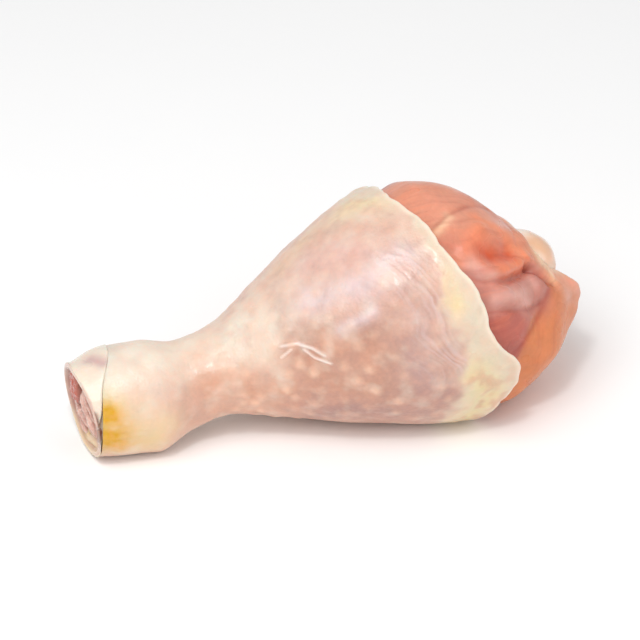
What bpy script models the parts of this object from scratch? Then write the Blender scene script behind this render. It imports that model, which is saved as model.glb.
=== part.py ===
"""Raw chicken drumstick: skin sleeve, leg meat, shank bone and an ankle tendon.

Metres, +Z up. The leg lies on its side along X, with the cut ankle at -X and
the open knee at +X. The origin is on the resting surface, under the middle of
the model's box. Tables give millimetres and degrees, and MM turns them into
metres. An angle runs round the leg from its top (0) over its front, the -Y
side (90), to its underside (180) and its back (270).
"""
import math

import bmesh
import bpy
import numpy as np
from mathutils import Vector

MM = 0.001

# Leg: station x, centre y, centre z, half height, and half width over half height.
STATIONS = (
    (-58.6, 3.0, 11.8, 10.6, 1.00),
    (-51.6, 2.8, 12.2, 12.6, 1.00),
    (-43.1, 2.2, 12.1, 12.9, 1.00),
    (-33.8, 1.7, 13.2, 10.3, 1.00),
    (-24.4, 1.1, 15.8, 11.1, 1.00),
    (-13.1, 0.5, 19.0, 16.2, 1.02),
    (0.0, 0.0, 22.2, 22.1, 1.05),
    (12.2, -0.4, 24.4, 26.6, 1.05),
    (24.4, -0.2, 23.6, 28.3, 1.06),
    (35.6, 0.3, 21.8, 27.1, 1.06),
    (45.0, 1.1, 19.0, 24.3, 1.07),
)
DOME_START = 28.1      # x where the knee end starts to close
DOME_END = 59.2        # x of its far tip
DOME_POWER = 2.3       # 2 is an ellipse, more is blunter
CORE = (18.8, 1.1, 22.5)          # middle of the belly, which trimming pulls towards
KNEE_FACING = (0.75, 0.45, 0.48)  # way that the cut knee faces
KNEE_REACH = 32.2      # distance from the core to the knee cut
KNEE_ROUNDING = 0.06   # softness of the cut's rim, as a share of the reach
SETTLE_ANKLE = 1.1     # depth of flesh that the resting surface flattens, at the ankle
SETTLE_BELLY = 3.2     # and under the belly
SETTLE_BETWEEN = (-37.0, 0.0)     # x where one turns into the other

# Skin: a sleeve, open at both ends. Edges are (angle, x) points round the leg.
SKIN_THICKNESS = 1.3
ANKLE_EDGE = ((0, -51.2), (38, -54.7), (72, -56.0), (114, -56.5), (180, -56.3), (250, -53.5), (315, -49.7))
KNEE_EDGE = (
    (6, 19.4), (17, 22.7), (27, 23.1), (37, 25.2), (48, 28.7), (60, 29.4), (76, 29.7), (85, 32.4),
    (94, 36.5), (105, 37.4), (118, 36.2), (150, 30.9), (190, 27.2), (235, 24.9), (280, 20.6), (325, 17.1),
    (350, 17.4),
)
EDGE_LIFT = 0.6        # how far the skin stands off at the knee edge
EDGE_LIFT_WIDTH = 6.6
FLAP = (36.6, 98.0, 4.7, 16.0, 0.7)   # x, angle, half sizes and lift of the loose corner

# Meat: inset under the skin, then rising past its knee edge.
CLEARANCE = 0.50       # between skin and what it covers, so that faceted walls keep 0.3 mm
MEAT_START = -45.8
MEAT_KNEE_FROM = 15.0  # x from which its rings lie closer
MEAT_TIP_SPACING = 0.93           # less than 1 spreads the rings towards the tip
BARE_INSET = 0.3
RISE_START = 1.0       # distance past the skin's edge where the meat starts to rise
RISE_WIDTH = 7.5
# Muscles as lines over the bare meat: route of (x, angle) points, half width, height.
# Swellings stand up and grooves have a height below zero.
MUSCLE_LINES = (
    (((28.1, 334), (39.4, 342), (49.7, 356)), 7.0, 1.2),
    (((28.1, 24), (33.8, 20), (46.9, 16)), 6.0, 1.2),
    (((30, 53), (41.3, 51), (48.8, 50)), 3.0, 0.7),
    (((50.6, 72), (49.7, 95), (46.9, 125)), 6.5, 1.6),
    (((57.2, 50), (58.1, 62)), 3.4, 2.4),
    (((37.5, 180), (48.8, 178)), 8.0, 0.4),
    (((31.9, 250), (43.1, 248), (51.6, 240)), 9.0, 1.6),
    (((20.6, 305), (33.8, 305), (43.1, 305)), 7.0, 0.8),
    (((22.5, 48), (28.1, 46), (37.5, 44), (43.1, 39), (47.8, 34), (52.5, 20)), 3.0, -2.1),
    (((47.8, 34), (50.6, 48), (46.9, 63), (42.7, 78), (39.4, 92), (37.5, 106), (37, 118), (34.7, 140)), 3.0, -1.8),
    (((28.1, 60), (41.3, 62), (48.8, 58)), 2.6, -0.8),
    (((30.9, 77), (36.6, 79)), 5.0, -1.0),
    (((38.5, 31), (40.3, 29)), 3.4, -1.8),
    (((20.6, 18), (26.3, 12), (33.8, 4), (41.3, 356)), 2.4, -0.8),
    (((51.6, 8), (56.3, 22)), 4.2, -2.6),
    (((25.3, 218), (39.4, 214), (50.6, 206), (56.3, 190)), 2.8, -1.8),
    (((18.8, 294), (30, 288), (41.3, 280), (50.6, 262), (56.3, 240)), 2.8, -1.8),
)

# Bone: an ankle block that fills the sleeve, a shaft, and a knee head with two knuckles.
FACE_X = -59.2
FACE_TILT = 0.09       # how far the ankle face leans, x for each unit of height
FACE_DISH = 0.7
BLOCK_BACK = -46.2
BLOCK_RINGS = 7
BLOCK_INSET = -0.1     # bare part of the block, under the leg's outline
BLOCK_RISE_START = 0.7            # distance out of the skin's edge where the block starts to rise
BLOCK_RISE_WIDTH = 2.8
BLOCK_NECK = 0.55      # the back's inner ring, as a share of its outer one
SHAFT_FROM = (-43.1, 2.4, 12.4)
SHAFT_RADIUS = 4.1
SHAFT_SHARES = (0.0, 0.15, 0.4, 0.66, 0.84)   # where its rings lie, from its start to the head
HEAD_CENTRE = (50.5, 5.8, 25.3)
HEAD_HALF_LENGTH = 8.9
HEAD_LONG = 12.9       # half size through both knuckles
HEAD_SHORT = 8.6
HEAD_TURN = 63.0       # angle that the first knuckle points to
HEAD_WAIST = 0.30      # depth of the dip between the knuckles
HEAD_TAPER = 0.55      # how much the head narrows towards the shaft
ROOM = 0.35            # clearance round the bone and the tendon

# Tendon: a flat red stump in the upper half of the ankle face.
TENDON_CENTRE = (5.4, 15.9)
TENDON_HALF = (3.6, 4.5)
TENDON_BACK = -52.5
TENDON_PROUD = 0.5
TENDON_SIDES = 20
TENDON_ROUNDING = 0.5

SKIN_SIDES, SKIN_RINGS = 40, 22
MEAT_SIDES, MEAT_BODY_RINGS, MEAT_KNEE_RINGS = 56, 12, 24
BONE_SIDES = 24

SKIN_COLOUR = (0.80, 0.58, 0.50)
MEAT_COLOUR = (0.68, 0.26, 0.19)
BONE_COLOUR = (0.88, 0.80, 0.68)
TENDON_COLOUR = (0.60, 0.20, 0.15)


def clear_scene():
    for old in list(bpy.data.objects):
        bpy.data.objects.remove(old, do_unlink=True)


def make_collection(name):
    collection = bpy.data.collections.new(name)
    bpy.context.scene.collection.children.link(collection)
    return collection


def make_material(name, colour, roughness):
    material = bpy.data.materials.new(name)
    material.use_nodes = True
    shader = material.node_tree.nodes["Principled BSDF"]
    shader.inputs["Base Color"].default_value = (*colour, 1.0)
    shader.inputs["Roughness"].default_value = roughness
    shader.inputs["Metallic"].default_value = 0.0
    return material


def smooth_step(value):
    value = np.clip(value, 0.0, 1.0)
    return value * value * (3.0 - 2.0 * value)


def through(points, values, x):
    """Read a smooth curve through (points, values) at x, with no overshoot past a peak."""
    points = np.asarray(points, float)
    values = np.asarray(values, float)
    steps = np.diff(points)
    slopes = np.diff(values) / steps
    tangents = np.concatenate(([slopes[0]], (slopes[:-1] + slopes[1:]) / 2, [slopes[-1]]))
    limit = 3.0 * np.minimum(np.abs(slopes[:-1]), np.abs(slopes[1:]))
    tangents[1:-1] = np.where(slopes[:-1] * slopes[1:] > 0, np.clip(tangents[1:-1], -limit, limit), 0.0)
    x = np.clip(x, points[0], points[-1])
    i = np.clip(np.searchsorted(points, x, side="right") - 1, 0, len(steps) - 1)
    t = (x - points[i]) / steps[i]
    return ((1 + 2 * t) * (1 - t) ** 2 * values[i] + t * (1 - t) ** 2 * steps[i] * tangents[i]
            + t * t * (3 - 2 * t) * values[i + 1] + t * t * (t - 1) * steps[i] * tangents[i + 1])


def round_curve(edge, angle):
    """Read a closed curve of (angle, x) points at any angle."""
    angles = np.array([point[0] for point in edge], float)
    places = np.array([point[1] for point in edge], float)
    angles = np.concatenate((angles - 360.0, angles, angles + 360.0))
    return through(angles, np.tile(places, 3), np.mod(angle, 360.0))


def turn_between(angle, centre):
    """Signed turn from centre to angle, from -180 to 180 degrees."""
    return np.mod(angle - centre + 180.0, 360.0) - 180.0


def leg_surface(x, angle, inset=0.0):
    """Points of the leg's outline at x and angle, moved in by inset. All in millimetres."""
    x, angle, inset = np.broadcast_arrays(np.asarray(x, float), np.asarray(angle, float), inset)
    table = np.array(STATIONS)
    centre_y, centre_z, half, ratio = (through(table[:, 0], table[:, k], x) for k in range(1, 5))
    closing = np.clip((x - DOME_START) / (DOME_END - DOME_START), 0.0, 1.0)
    dome = (1.0 - closing ** DOME_POWER) ** (1.0 / DOME_POWER)
    shrink = (DOME_END - DOME_START - inset) / (DOME_END - DOME_START)
    turn = np.radians(angle)
    points = np.stack((
        np.where(x > DOME_START, DOME_START + (x - DOME_START) * shrink, x),
        centre_y - (half * ratio - inset) * dome * np.sin(turn),
        centre_z + (half - inset) * dome * np.cos(turn),
    ), axis=-1)
    points = trim_knee(points, inset)
    return settle(points, inset)


def trim_knee(points, inset):
    """Pull points past the knee cut back to it, towards the core."""
    facing = np.array(KNEE_FACING) / np.linalg.norm(KNEE_FACING)
    offset = points - np.array(CORE)
    ratio = (KNEE_REACH - inset) / np.maximum(offset @ facing, 1e-3)
    ratio = np.minimum(ratio, 4.0)
    keep = -KNEE_ROUNDING * np.log(np.exp(-1.0 / KNEE_ROUNDING) + np.exp(-ratio / KNEE_ROUNDING))
    return np.array(CORE) + offset * keep[..., None]


def settle(points, inset):
    """Flatten what lies lower than the resting surface, with a rounded start."""
    lowest = np.maximum(inset, 0.0)
    depth = np.interp(points[..., 0], SETTLE_BETWEEN, (SETTLE_ANKLE, SETTLE_BELLY))
    height = points[..., 2] - lowest
    eased = (height + depth) ** 2 / (4.0 * depth)
    height = np.where(height < -depth, 0.0, np.where(height < depth, eased, height))
    points[..., 2] = height + lowest
    return points


def route_distance(points, route):
    """Distance from each point to a route over the leg's outline."""
    stops = leg_surface([x for x, _ in route], [angle for _, angle in route])
    best = np.full(points.shape[:-1], np.inf)
    for start, end in zip(stops[:-1], stops[1:]):
        run, offset = end - start, points - start
        share = np.clip(offset @ run / (run @ run), 0.0, 1.0)
        best = np.minimum(best, np.linalg.norm(offset - share[..., None] * run, axis=-1))
    return best


def muscle_relief(x, angle):
    """Height of the muscles' swellings, less the grooves between them."""
    points = leg_surface(x, angle)
    height = np.zeros(points.shape[:-1])
    for route, half_width, rise in MUSCLE_LINES:
        height += rise * np.exp(-(route_distance(points, route) / half_width) ** 2)
    return height


def make_loft(name, rings, capped):
    """Mesh object of faces between neighbouring rings of points, with pointed ends where capped."""
    bm = bmesh.new()
    rows = [[bm.verts.new(point * MM) for point in ring] for ring in rings]
    count = len(rows[0])
    for low, high in zip(rows[:-1], rows[1:]):
        for i in range(count):
            j = (i + 1) % count
            bm.faces.new((low[i], low[j], high[j], high[i]))
    if capped:
        for row, ring in ((rows[0], rings[0]), (rows[-1], rings[-1])):
            tip = bm.verts.new(np.mean(ring, axis=0) * MM)
            for i in range(count):
                bm.faces.new((row[i], row[(i + 1) % count], tip))
    bmesh.ops.recalc_face_normals(bm, faces=bm.faces)
    mesh = bpy.data.meshes.new(name)
    bm.to_mesh(mesh)
    bm.free()
    mesh.shade_smooth()
    return bpy.data.objects.new(name, mesh)


def side_angles(count):
    return np.arange(count) * 360.0 / count


def make_skin(collection):
    """Sleeve from the ankle edge to the wavy knee edge, one skin thick."""
    angle = side_angles(SKIN_SIDES)
    start, end = round_curve(ANKLE_EDGE, angle), round_curve(KNEE_EDGE, angle)
    along = np.linspace(0.0, 1.0, SKIN_RINGS)[:, None]
    x = start + along * (end - start)
    lift = EDGE_LIFT * smooth_step(1.0 - (end - x) / EDGE_LIFT_WIDTH)
    flap_x, flap_angle, half_x, half_angle, flap_lift = FLAP
    reach = ((x - flap_x) / half_x) ** 2 + (turn_between(angle, flap_angle) / half_angle) ** 2
    lift = lift + flap_lift * np.exp(-reach)
    skin = make_loft("skin", leg_surface(x, angle, -lift), capped=False)
    wall = skin.modifiers.new("thickness", "SOLIDIFY")
    wall.thickness = SKIN_THICKNESS * MM
    wall.offset = -1.0
    skin.data.materials.append(make_material("raw skin", SKIN_COLOUR, 0.35))
    collection.objects.link(skin)
    return skin


def make_meat(collection, bone_room):
    """Muscles from the ankle block to the knee cut, with room for the bone right through."""
    angle = side_angles(MEAT_SIDES)
    body_x = np.linspace(MEAT_START, MEAT_KNEE_FROM, MEAT_BODY_RINGS, endpoint=False)
    sweep = np.linspace(0.0, math.pi / 2, MEAT_KNEE_RINGS, endpoint=False)
    knee_x = MEAT_KNEE_FROM + (DOME_END - MEAT_KNEE_FROM) * np.sin(sweep) ** MEAT_TIP_SPACING
    x = np.concatenate((body_x, knee_x))[:, None]
    covered = SKIN_THICKNESS + CLEARANCE
    bare = smooth_step((x - round_curve(KNEE_EDGE, angle) - RISE_START) / RISE_WIDTH)
    inset = covered + bare * (BARE_INSET - covered - muscle_relief(x, angle))
    meat = make_loft("meat", leg_surface(x, angle, inset), capped=True)
    meat.data.materials.append(make_material("raw meat", MEAT_COLOUR, 0.4))
    collection.objects.link(meat)
    cut(meat, bone_room)
    return meat


def ring_at(centre, radius, turn):
    """Ring across X, round a centre, with one radius for each turn."""
    radius = np.broadcast_to(radius, turn.shape)
    return np.stack((np.full_like(turn, centre[0]), centre[1] - radius * np.sin(turn),
                     centre[2] + radius * np.cos(turn)), axis=-1)


def shrunk(ring, share, push=0.0):
    """Copy of a ring, drawn to its middle and moved along X."""
    middle = ring.mean(axis=0)
    return middle + (ring - middle) * share + np.array((push, 0.0, 0.0))


def block_rings(angle, grow):
    """Rings of the ankle block, from its slightly dished face to its back."""
    covered = SKIN_THICKNESS + CLEARANCE
    edge = round_curve(ANKLE_EDGE, angle)
    rings = []
    for x in np.linspace(FACE_X, BLOCK_BACK, BLOCK_RINGS):
        bare = smooth_step((edge - x - BLOCK_RISE_START) / BLOCK_RISE_WIDTH)
        ring = leg_surface(x, angle, covered + bare * (BLOCK_INSET - covered) - grow)
        lean = (BLOCK_BACK - x) / (BLOCK_BACK - FACE_X)
        ring[:, 0] -= FACE_TILT * lean * (ring[:, 2] - STATIONS[0][2])
        rings.append(ring)
    rings[0][:, 0] -= grow
    rings[-1][:, 0] += grow
    face = [shrunk(rings[0], share, FACE_DISH * (1.0 - share)) for share in (0.35, 0.7, 0.9)]
    return face + rings + [shrunk(rings[-1], BLOCK_NECK)]


def head_rings(turn, grow):
    """Rings of the knee head, which swells, splits into two knuckles and rounds off."""
    rings = []
    knuckle = turn - math.radians(HEAD_TURN)
    for share in (-0.82, -0.55, -0.2, 0.15, 0.45, 0.7, 0.87, 0.97):
        swell = math.sqrt(1.0 - share ** 2) if share > 0.0 else 1.0 - HEAD_TAPER * abs(share) ** 1.5
        long_half, short_half = HEAD_LONG * swell + grow, HEAD_SHORT * swell + grow
        radius = 1.0 / np.hypot(np.cos(knuckle) / long_half, np.sin(knuckle) / short_half)
        radius *= 1.0 - HEAD_WAIST * max(share + 0.2, 0.0) * np.sin(knuckle) ** 4
        centre = (HEAD_CENTRE[0] + (HEAD_HALF_LENGTH + grow) * share, *HEAD_CENTRE[1:])
        rings.append(ring_at(centre, radius, turn))
    return rings


def bone_rings(grow=0.0):
    """Rings from the ankle face over the block, the shaft and the knee head, all wider by grow."""
    angle = side_angles(BONE_SIDES)
    turn = np.radians(angle)
    start, head = np.array(SHAFT_FROM), np.array(HEAD_CENTRE)
    shaft = [ring_at(start + (head - start) * share, SHAFT_RADIUS + grow, turn) for share in SHAFT_SHARES]
    return block_rings(angle, grow) + shaft + head_rings(turn, grow)


def make_bone(collection, tendon_room):
    bone = make_loft("bone", bone_rings(), capped=True)
    bone.data.materials.append(make_material("bone and gristle", BONE_COLOUR, 0.3))
    collection.objects.link(bone)
    cut(bone, tendon_room)
    return bone


def make_tendon(name, grow=0.0, past_face=0.0):
    """Flat oval stump that runs back from the ankle face."""
    centre_y, centre_z = TENDON_CENTRE
    half_y, half_z = TENDON_HALF
    front = FACE_X - TENDON_PROUD - FACE_TILT * (centre_z - STATIONS[0][2]) - past_face
    back = TENDON_BACK + grow
    bm = bmesh.new()
    bmesh.ops.create_cone(bm, cap_ends=True, segments=TENDON_SIDES, radius1=1.0, radius2=1.0, depth=1.0)
    for vert in bm.verts:
        across, aside, along = vert.co
        vert.co = Vector((
            (front + back) / 2 + along * (back - front),
            centre_y + aside * (half_y + grow),
            centre_z + across * (half_z + grow),
        )) * MM
    bmesh.ops.recalc_face_normals(bm, faces=bm.faces)
    mesh = bpy.data.meshes.new(name)
    bm.to_mesh(mesh)
    bm.free()
    mesh.shade_smooth()
    mesh.set_sharp_from_angle(angle=math.radians(40))
    return bpy.data.objects.new(name, mesh)


def cut(target, cutter):
    """Take the cutter's shape out of the target."""
    boolean = target.modifiers.new(cutter.name, "BOOLEAN")
    boolean.operation = "DIFFERENCE"
    boolean.object = cutter


def set_as_cutter(cutter, collection):
    cutter.hide_render = True
    cutter.display_type = "WIRE"
    collection.objects.link(cutter)
    return cutter


def main():
    clear_scene()
    parts = make_collection("raw_chicken_drumstick")
    cutters = make_collection("cutters")
    bone_room = set_as_cutter(make_loft("bone_room", bone_rings(ROOM), capped=True), cutters)
    tendon_room = set_as_cutter(make_tendon("tendon_room", ROOM, past_face=5.0), cutters)
    make_skin(parts)
    make_meat(parts, bone_room)
    make_bone(parts, tendon_room)
    tendon = make_tendon("tendon")
    rounding = tendon.modifiers.new("rounding", "BEVEL")
    rounding.width = TENDON_ROUNDING * MM
    rounding.segments = 2
    tendon.data.materials.append(make_material("raw tendon", TENDON_COLOUR, 0.4))
    parts.objects.link(tendon)


main()
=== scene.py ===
import math

import bpy
import numpy as np
from bpy.props import FloatProperty, FloatVectorProperty, IntProperty, PointerProperty
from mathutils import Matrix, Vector, noise


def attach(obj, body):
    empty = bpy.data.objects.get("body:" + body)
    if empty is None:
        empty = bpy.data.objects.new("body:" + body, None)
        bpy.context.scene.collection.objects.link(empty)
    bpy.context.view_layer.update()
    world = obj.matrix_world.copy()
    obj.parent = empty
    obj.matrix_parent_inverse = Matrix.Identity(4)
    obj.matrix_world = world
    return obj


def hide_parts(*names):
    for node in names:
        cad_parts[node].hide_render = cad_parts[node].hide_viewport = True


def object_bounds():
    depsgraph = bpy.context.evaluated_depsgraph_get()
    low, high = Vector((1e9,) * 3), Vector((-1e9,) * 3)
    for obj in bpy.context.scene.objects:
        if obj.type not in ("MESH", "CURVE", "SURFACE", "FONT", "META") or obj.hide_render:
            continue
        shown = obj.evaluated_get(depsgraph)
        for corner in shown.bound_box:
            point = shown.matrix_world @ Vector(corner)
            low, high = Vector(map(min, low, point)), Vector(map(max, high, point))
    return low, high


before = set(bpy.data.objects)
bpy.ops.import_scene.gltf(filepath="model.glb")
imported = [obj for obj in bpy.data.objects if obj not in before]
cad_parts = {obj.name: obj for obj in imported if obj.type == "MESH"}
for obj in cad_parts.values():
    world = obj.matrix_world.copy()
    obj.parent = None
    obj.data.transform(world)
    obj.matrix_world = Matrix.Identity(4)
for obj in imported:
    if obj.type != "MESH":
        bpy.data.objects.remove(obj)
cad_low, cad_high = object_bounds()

bl_info = {
    "name": "Raw chicken drumstick",
    "version": (1, 0, 0),
    "blender": (4, 5, 0),
    "location": "View3D > Sidebar > Drumstick",
    "description": "Dresses a drumstick's solids with skin, muscle, bone and sinew",
    "category": "Add Mesh",
}

MM = 0.001
BODY = "root"

# Leg: station x, centre y, centre z, half height, and half width over half height.
STATIONS = (
    (-58.6, 3.0, 11.8, 10.6, 1.00),
    (-51.6, 2.8, 12.2, 12.6, 1.00),
    (-43.1, 2.2, 12.1, 12.9, 1.00),
    (-33.8, 1.7, 13.2, 10.3, 1.00),
    (-24.4, 1.1, 15.8, 11.1, 1.00),
    (-13.1, 0.5, 19.0, 16.2, 1.02),
    (0.0, 0.0, 22.2, 22.1, 1.05),
    (12.2, -0.4, 24.4, 26.6, 1.05),
    (24.4, -0.2, 23.6, 28.3, 1.06),
    (35.6, 0.3, 21.8, 27.1, 1.06),
    (45.0, 1.1, 19.0, 24.3, 1.07),
)
DOME_START = 28.1                   # x where the knee end starts to close
DOME_END = 59.2                     # x where it is closed
DOME_POWER = 2.3                    # how blunt it is
CORE = (18.8, 1.1, 22.5)            # place in the leg that the knee cut is measured from
KNEE_FACING = (0.75, 0.45, 0.48)    # direction the knee cut faces
KNEE_REACH = 32.2                   # distance from the core to the knee cut
KNEE_ROUNDING = 0.06
SETTLE_ANKLE = 1.1                  # height over which the underside rounds into its flat, at the ankle
SETTLE_BELLY = 3.2                  # and at the belly
SETTLE_BETWEEN = (-37.0, 0.0)       # x where the one starts to turn into the other, and where it ends

# Skin sleeve: (angle, x) points of its edges and of the fat band's inner edge.
ANKLE_EDGE = ((0, -51.2), (38, -54.7), (72, -56.0), (114, -56.5), (180, -56.3), (250, -53.5), (315, -49.7))
KNEE_EDGE = (
    (6, 18.9), (17, 21.6), (27, 22.4), (37, 24.4), (48, 27.8), (60, 29.2), (70, 30.0), (78, 32.2),
    (85, 35.4), (92, 37.1), (100, 37.0), (109, 35.5), (122, 33.4), (150, 30.4), (190, 27.2), (235, 24.9),
    (280, 20.6), (325, 17.1), (350, 17.3),
)
FAT_EDGE = (
    (12, 18.4), (26, 19.6), (37, 21.2), (46, 21.8), (54, 20.4), (64, 20.8), (70, 22.4), (78, 23.6),
    (89, 23.8), (101, 22.8), (117, 21.5), (160, 19.5), (200, 17.0), (245, 14.5), (290, 10.0), (330, 9.5),
    (345, 13.4), (357, 16.2),
)
EDGE_LIFT = 0.6            # how far the skin stands off the leg at the knee edge
EDGE_LIFT_WIDTH = 6.6
FLAP = (36.4, 94.0, 4.7, 15.0, 0.7)    # the loose corner's x, angle, half length, half turn and lift

# Muscles: route, half width and height of each swelling, or of each groove below zero.
MUSCLE_LINES = (
    (((26, 348), (38, 352), (48, 0)), 9.0, 1.1),
    (((27, 36), (30, 27), (34.5, 20)), 2.6, 0.8),
    (((34.5, 20), (41, 15), (48, 12)), 3.4, 0.8),
    (((29.5, 41), (35, 41.5), (41, 38), (46, 31)), 2.2, 1.0),
    (((35.5, 33), (41, 28)), 3.0, -0.9),
    (((25.5, 43), (32, 47), (38, 46.5), (43.5, 41), (47.1, 36)), 1.15, -1.5),
    (((45.9, 35), (48.3, 40), (50.4, 46), (52.3, 50)), 1.1, -1.3),
    (((50.6, 50), (48.2, 58), (45.0, 69), (41.4, 79), (38.2, 88), (37.6, 97)), 1.7, -0.5),
    (((31, 54), (39, 54), (46, 49)), 4.0, 0.9),
    (((29.7, 62), (37, 62), (43.6, 62), (47, 59)), 0.9, -0.5),
    (((31, 75), (37, 76)), 5.5, -0.6),
    (((53.0, 60), (50.5, 74), (48.5, 86)), 7.5, 1.7),
    (((44.5, 112), (44, 145)), 6.5, 0.7),
    (((57.4, 51), (57.9, 60), (57.4, 80)), 4.8, 2.9),
    (((57.5, 56), (57.6, 62)), 1.9, 1.1),
    (((54.0, 43), (56.2, 46)), 2.2, -0.6),
    (((53.5, 94), (49.5, 96), (45.4, 98)), 4.5, 0.9),
    (((33.5, 56), (37, 53.5)), 1.3, 0.45),
    (((38, 58), (43, 58)), 1.5, 0.4),
    (((37.5, 180), (48.8, 178)), 8.0, 0.4),
    (((31.9, 250), (43.1, 248), (51.6, 240)), 9.0, 1.6),
    (((20.6, 305), (33.8, 305), (43.1, 305)), 7.0, 0.8),
    (((20.6, 20), (26.3, 13), (33.8, 5), (41.3, 357)), 1.2, -0.35),
    (((52.5, 6), (55.8, 20)), 4.8, -2.2),
    (((25.3, 218), (39.4, 214), (50.6, 206), (56.3, 190)), 1.8, -1.6),
    (((18.8, 294), (30, 288), (41.3, 280), (50.6, 262), (56.3, 240)), 1.8, -1.6),
)
SKIN_WALL = 1.3
CLEARANCE = 0.50      # gap between the skin and what it covers
MEAT_START = -45.8
BARE_INSET = 0.3      # how far the bare muscle lies under the leg's outline
# Swelling of the shank's lower front edge: (x, rise) points, and the angle and spread round the leg.
UNDER_SWELL = ((-60.0, 1.3), (-53.0, 0.6), (-47.0, 0.5), (-41.0, 0.9), (-35.0, 0.7), (-28.0, 0.0))
UNDER_ANGLE = 138.0
UNDER_SPREAD = 42.0
RISE_START = 1.0      # how far past the skin's edge the muscle starts to rise
RISE_WIDTH = 7.5

# Bone: ankle block, shaft and knee head.
FACE_X = -59.2        # x of the plain ankle face at its middle
FACE_TILT = 0.09      # how much the face leans out for its height
FACE_LEAN = 0.16      # and how much it falls back at the front
BLOCK_BACK = -46.2
BLOCK_INSET = -0.1    # how far the bare collar lies under the leg's outline: a little over it
BLOCK_RISE_START = -0.55    # how far past the skin's edge the collar starts to rise: a little under it
BLOCK_RISE_WIDTH = 0.8
BLOCK_GAP = 0.7       # how much later it starts round one angle, which leaves a gap beside the skin
BLOCK_GAP_ANGLE = 92.0
BLOCK_GAP_SPREAD = 32.0
RIM_SHARE = 0.91      # where the rim starts, as a share of the way from the face's middle to its edge
RECESS = 1.3          # how deep the face is sunk inside its rim
SHAFT_FROM = (-43.1, 2.4, 12.4)
SHAFT_RADIUS = 4.1
HEAD_CENTRE = (50.5, 5.8, 25.3)
HEAD_HALF_LENGTH = 8.9
HEAD_LONG = 12.9
HEAD_SHORT = 8.6
HEAD_TURN = 63.0
HEAD_WAIST = 0.30
HEAD_TAPER = 0.55
ROOM = 0.35           # gap between the bone and the muscle round it
KNUCKLE = (((52.5, 2), (55.5, 24), (56.5, 40)), 6.0, 1.3)

# Forms in the ankle face, whose places are (y, z): property, route, half width and height. The grooves are
# painted shade.
FACE_FORMS = (
    ("strand", ((6.4, 14.5), (4.5, 12.5), (1.8, 10.2), (-0.6, 8.0)), 1.3, 0.7),
    ("strand", ((1.2, 15.4), (-1.3, 12.3), (-3.6, 9.7), (-4.7, 7.2)), 1.4, 0.8),
    ("painted_groove_shade", ((3.4, 14.8), (1.0, 12.4), (-1.4, 9.8), (-2.8, 7.2)), 0.8, -0.9),
    ("painted_groove_shade", ((1.7, 19.4), (-1.2, 17.0), (-4.4, 14.2), (-6.6, 11.0)), 0.8, -0.6),
    ("painted_groove_shade", ((8.0, 11.2), (5.6, 9.6), (3.2, 7.6), (1.2, 5.8)), 0.7, -0.7),
    ("foot_fat", ((6.4, 10.0), (3.2, 7.6), (1.6, 5.2)), 0.9, 0.6),
    ("foot_fat", ((-2.4, 4.6), (0.6, 4.0), (4.0, 3.0)), 1.7, 0.5),
)
# Forms on the collar round the face, whose places are on the leg. The dent and the gap beside the skin are
# painted shade.
COLLAR_FORMS = (
    # Painted shade in the dent.
    ("painted_dent_shade", ((-55.4, 350), (-54.0, 0), (-53.2, 6)), 1.9, -0.6),
    ("foot_fat", ((-57.5, 130), (-57.5, 160)), 1.8, 0.1),
    # Painted shade in the gap beside the skin.
    ("painted_groove_shade", ((-58.0, 68), (-57.2, 84), (-57.4, 104)), 1.0, -0.8),
)

# Tendon stump in the ankle face.
TENDON_CENTRE = (5.4, 15.9)
TENDON_HALF = (3.6, 4.5)
TENDON_BACK = -52.5
TENDON_PROUD = 0.5
TENDON_DOME = 1.3
TENDON_ROOM = 0.15


def linear(hex_colour):
    """Scene-linear colour of a web colour such as E0BDB5."""
    parts = [int(hex_colour[k:k + 2], 16) / 255 for k in (0, 2, 4)]
    return tuple(part / 12.92 if part <= 0.04045 else ((part + 0.055) / 1.055) ** 2.4 for part in parts)


def length(name, description, millimetres):
    """Property that holds a length."""
    return FloatProperty(name=name, description=description, default=millimetres * MM, min=0.0,
                         precision=5, unit="LENGTH")


def paint(name, description, hex_colour):
    """Property that holds a colour."""
    return FloatVectorProperty(name=name, description=description, default=linear(hex_colour), size=3,
                               min=0.0, max=1.0, subtype="COLOR")


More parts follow.
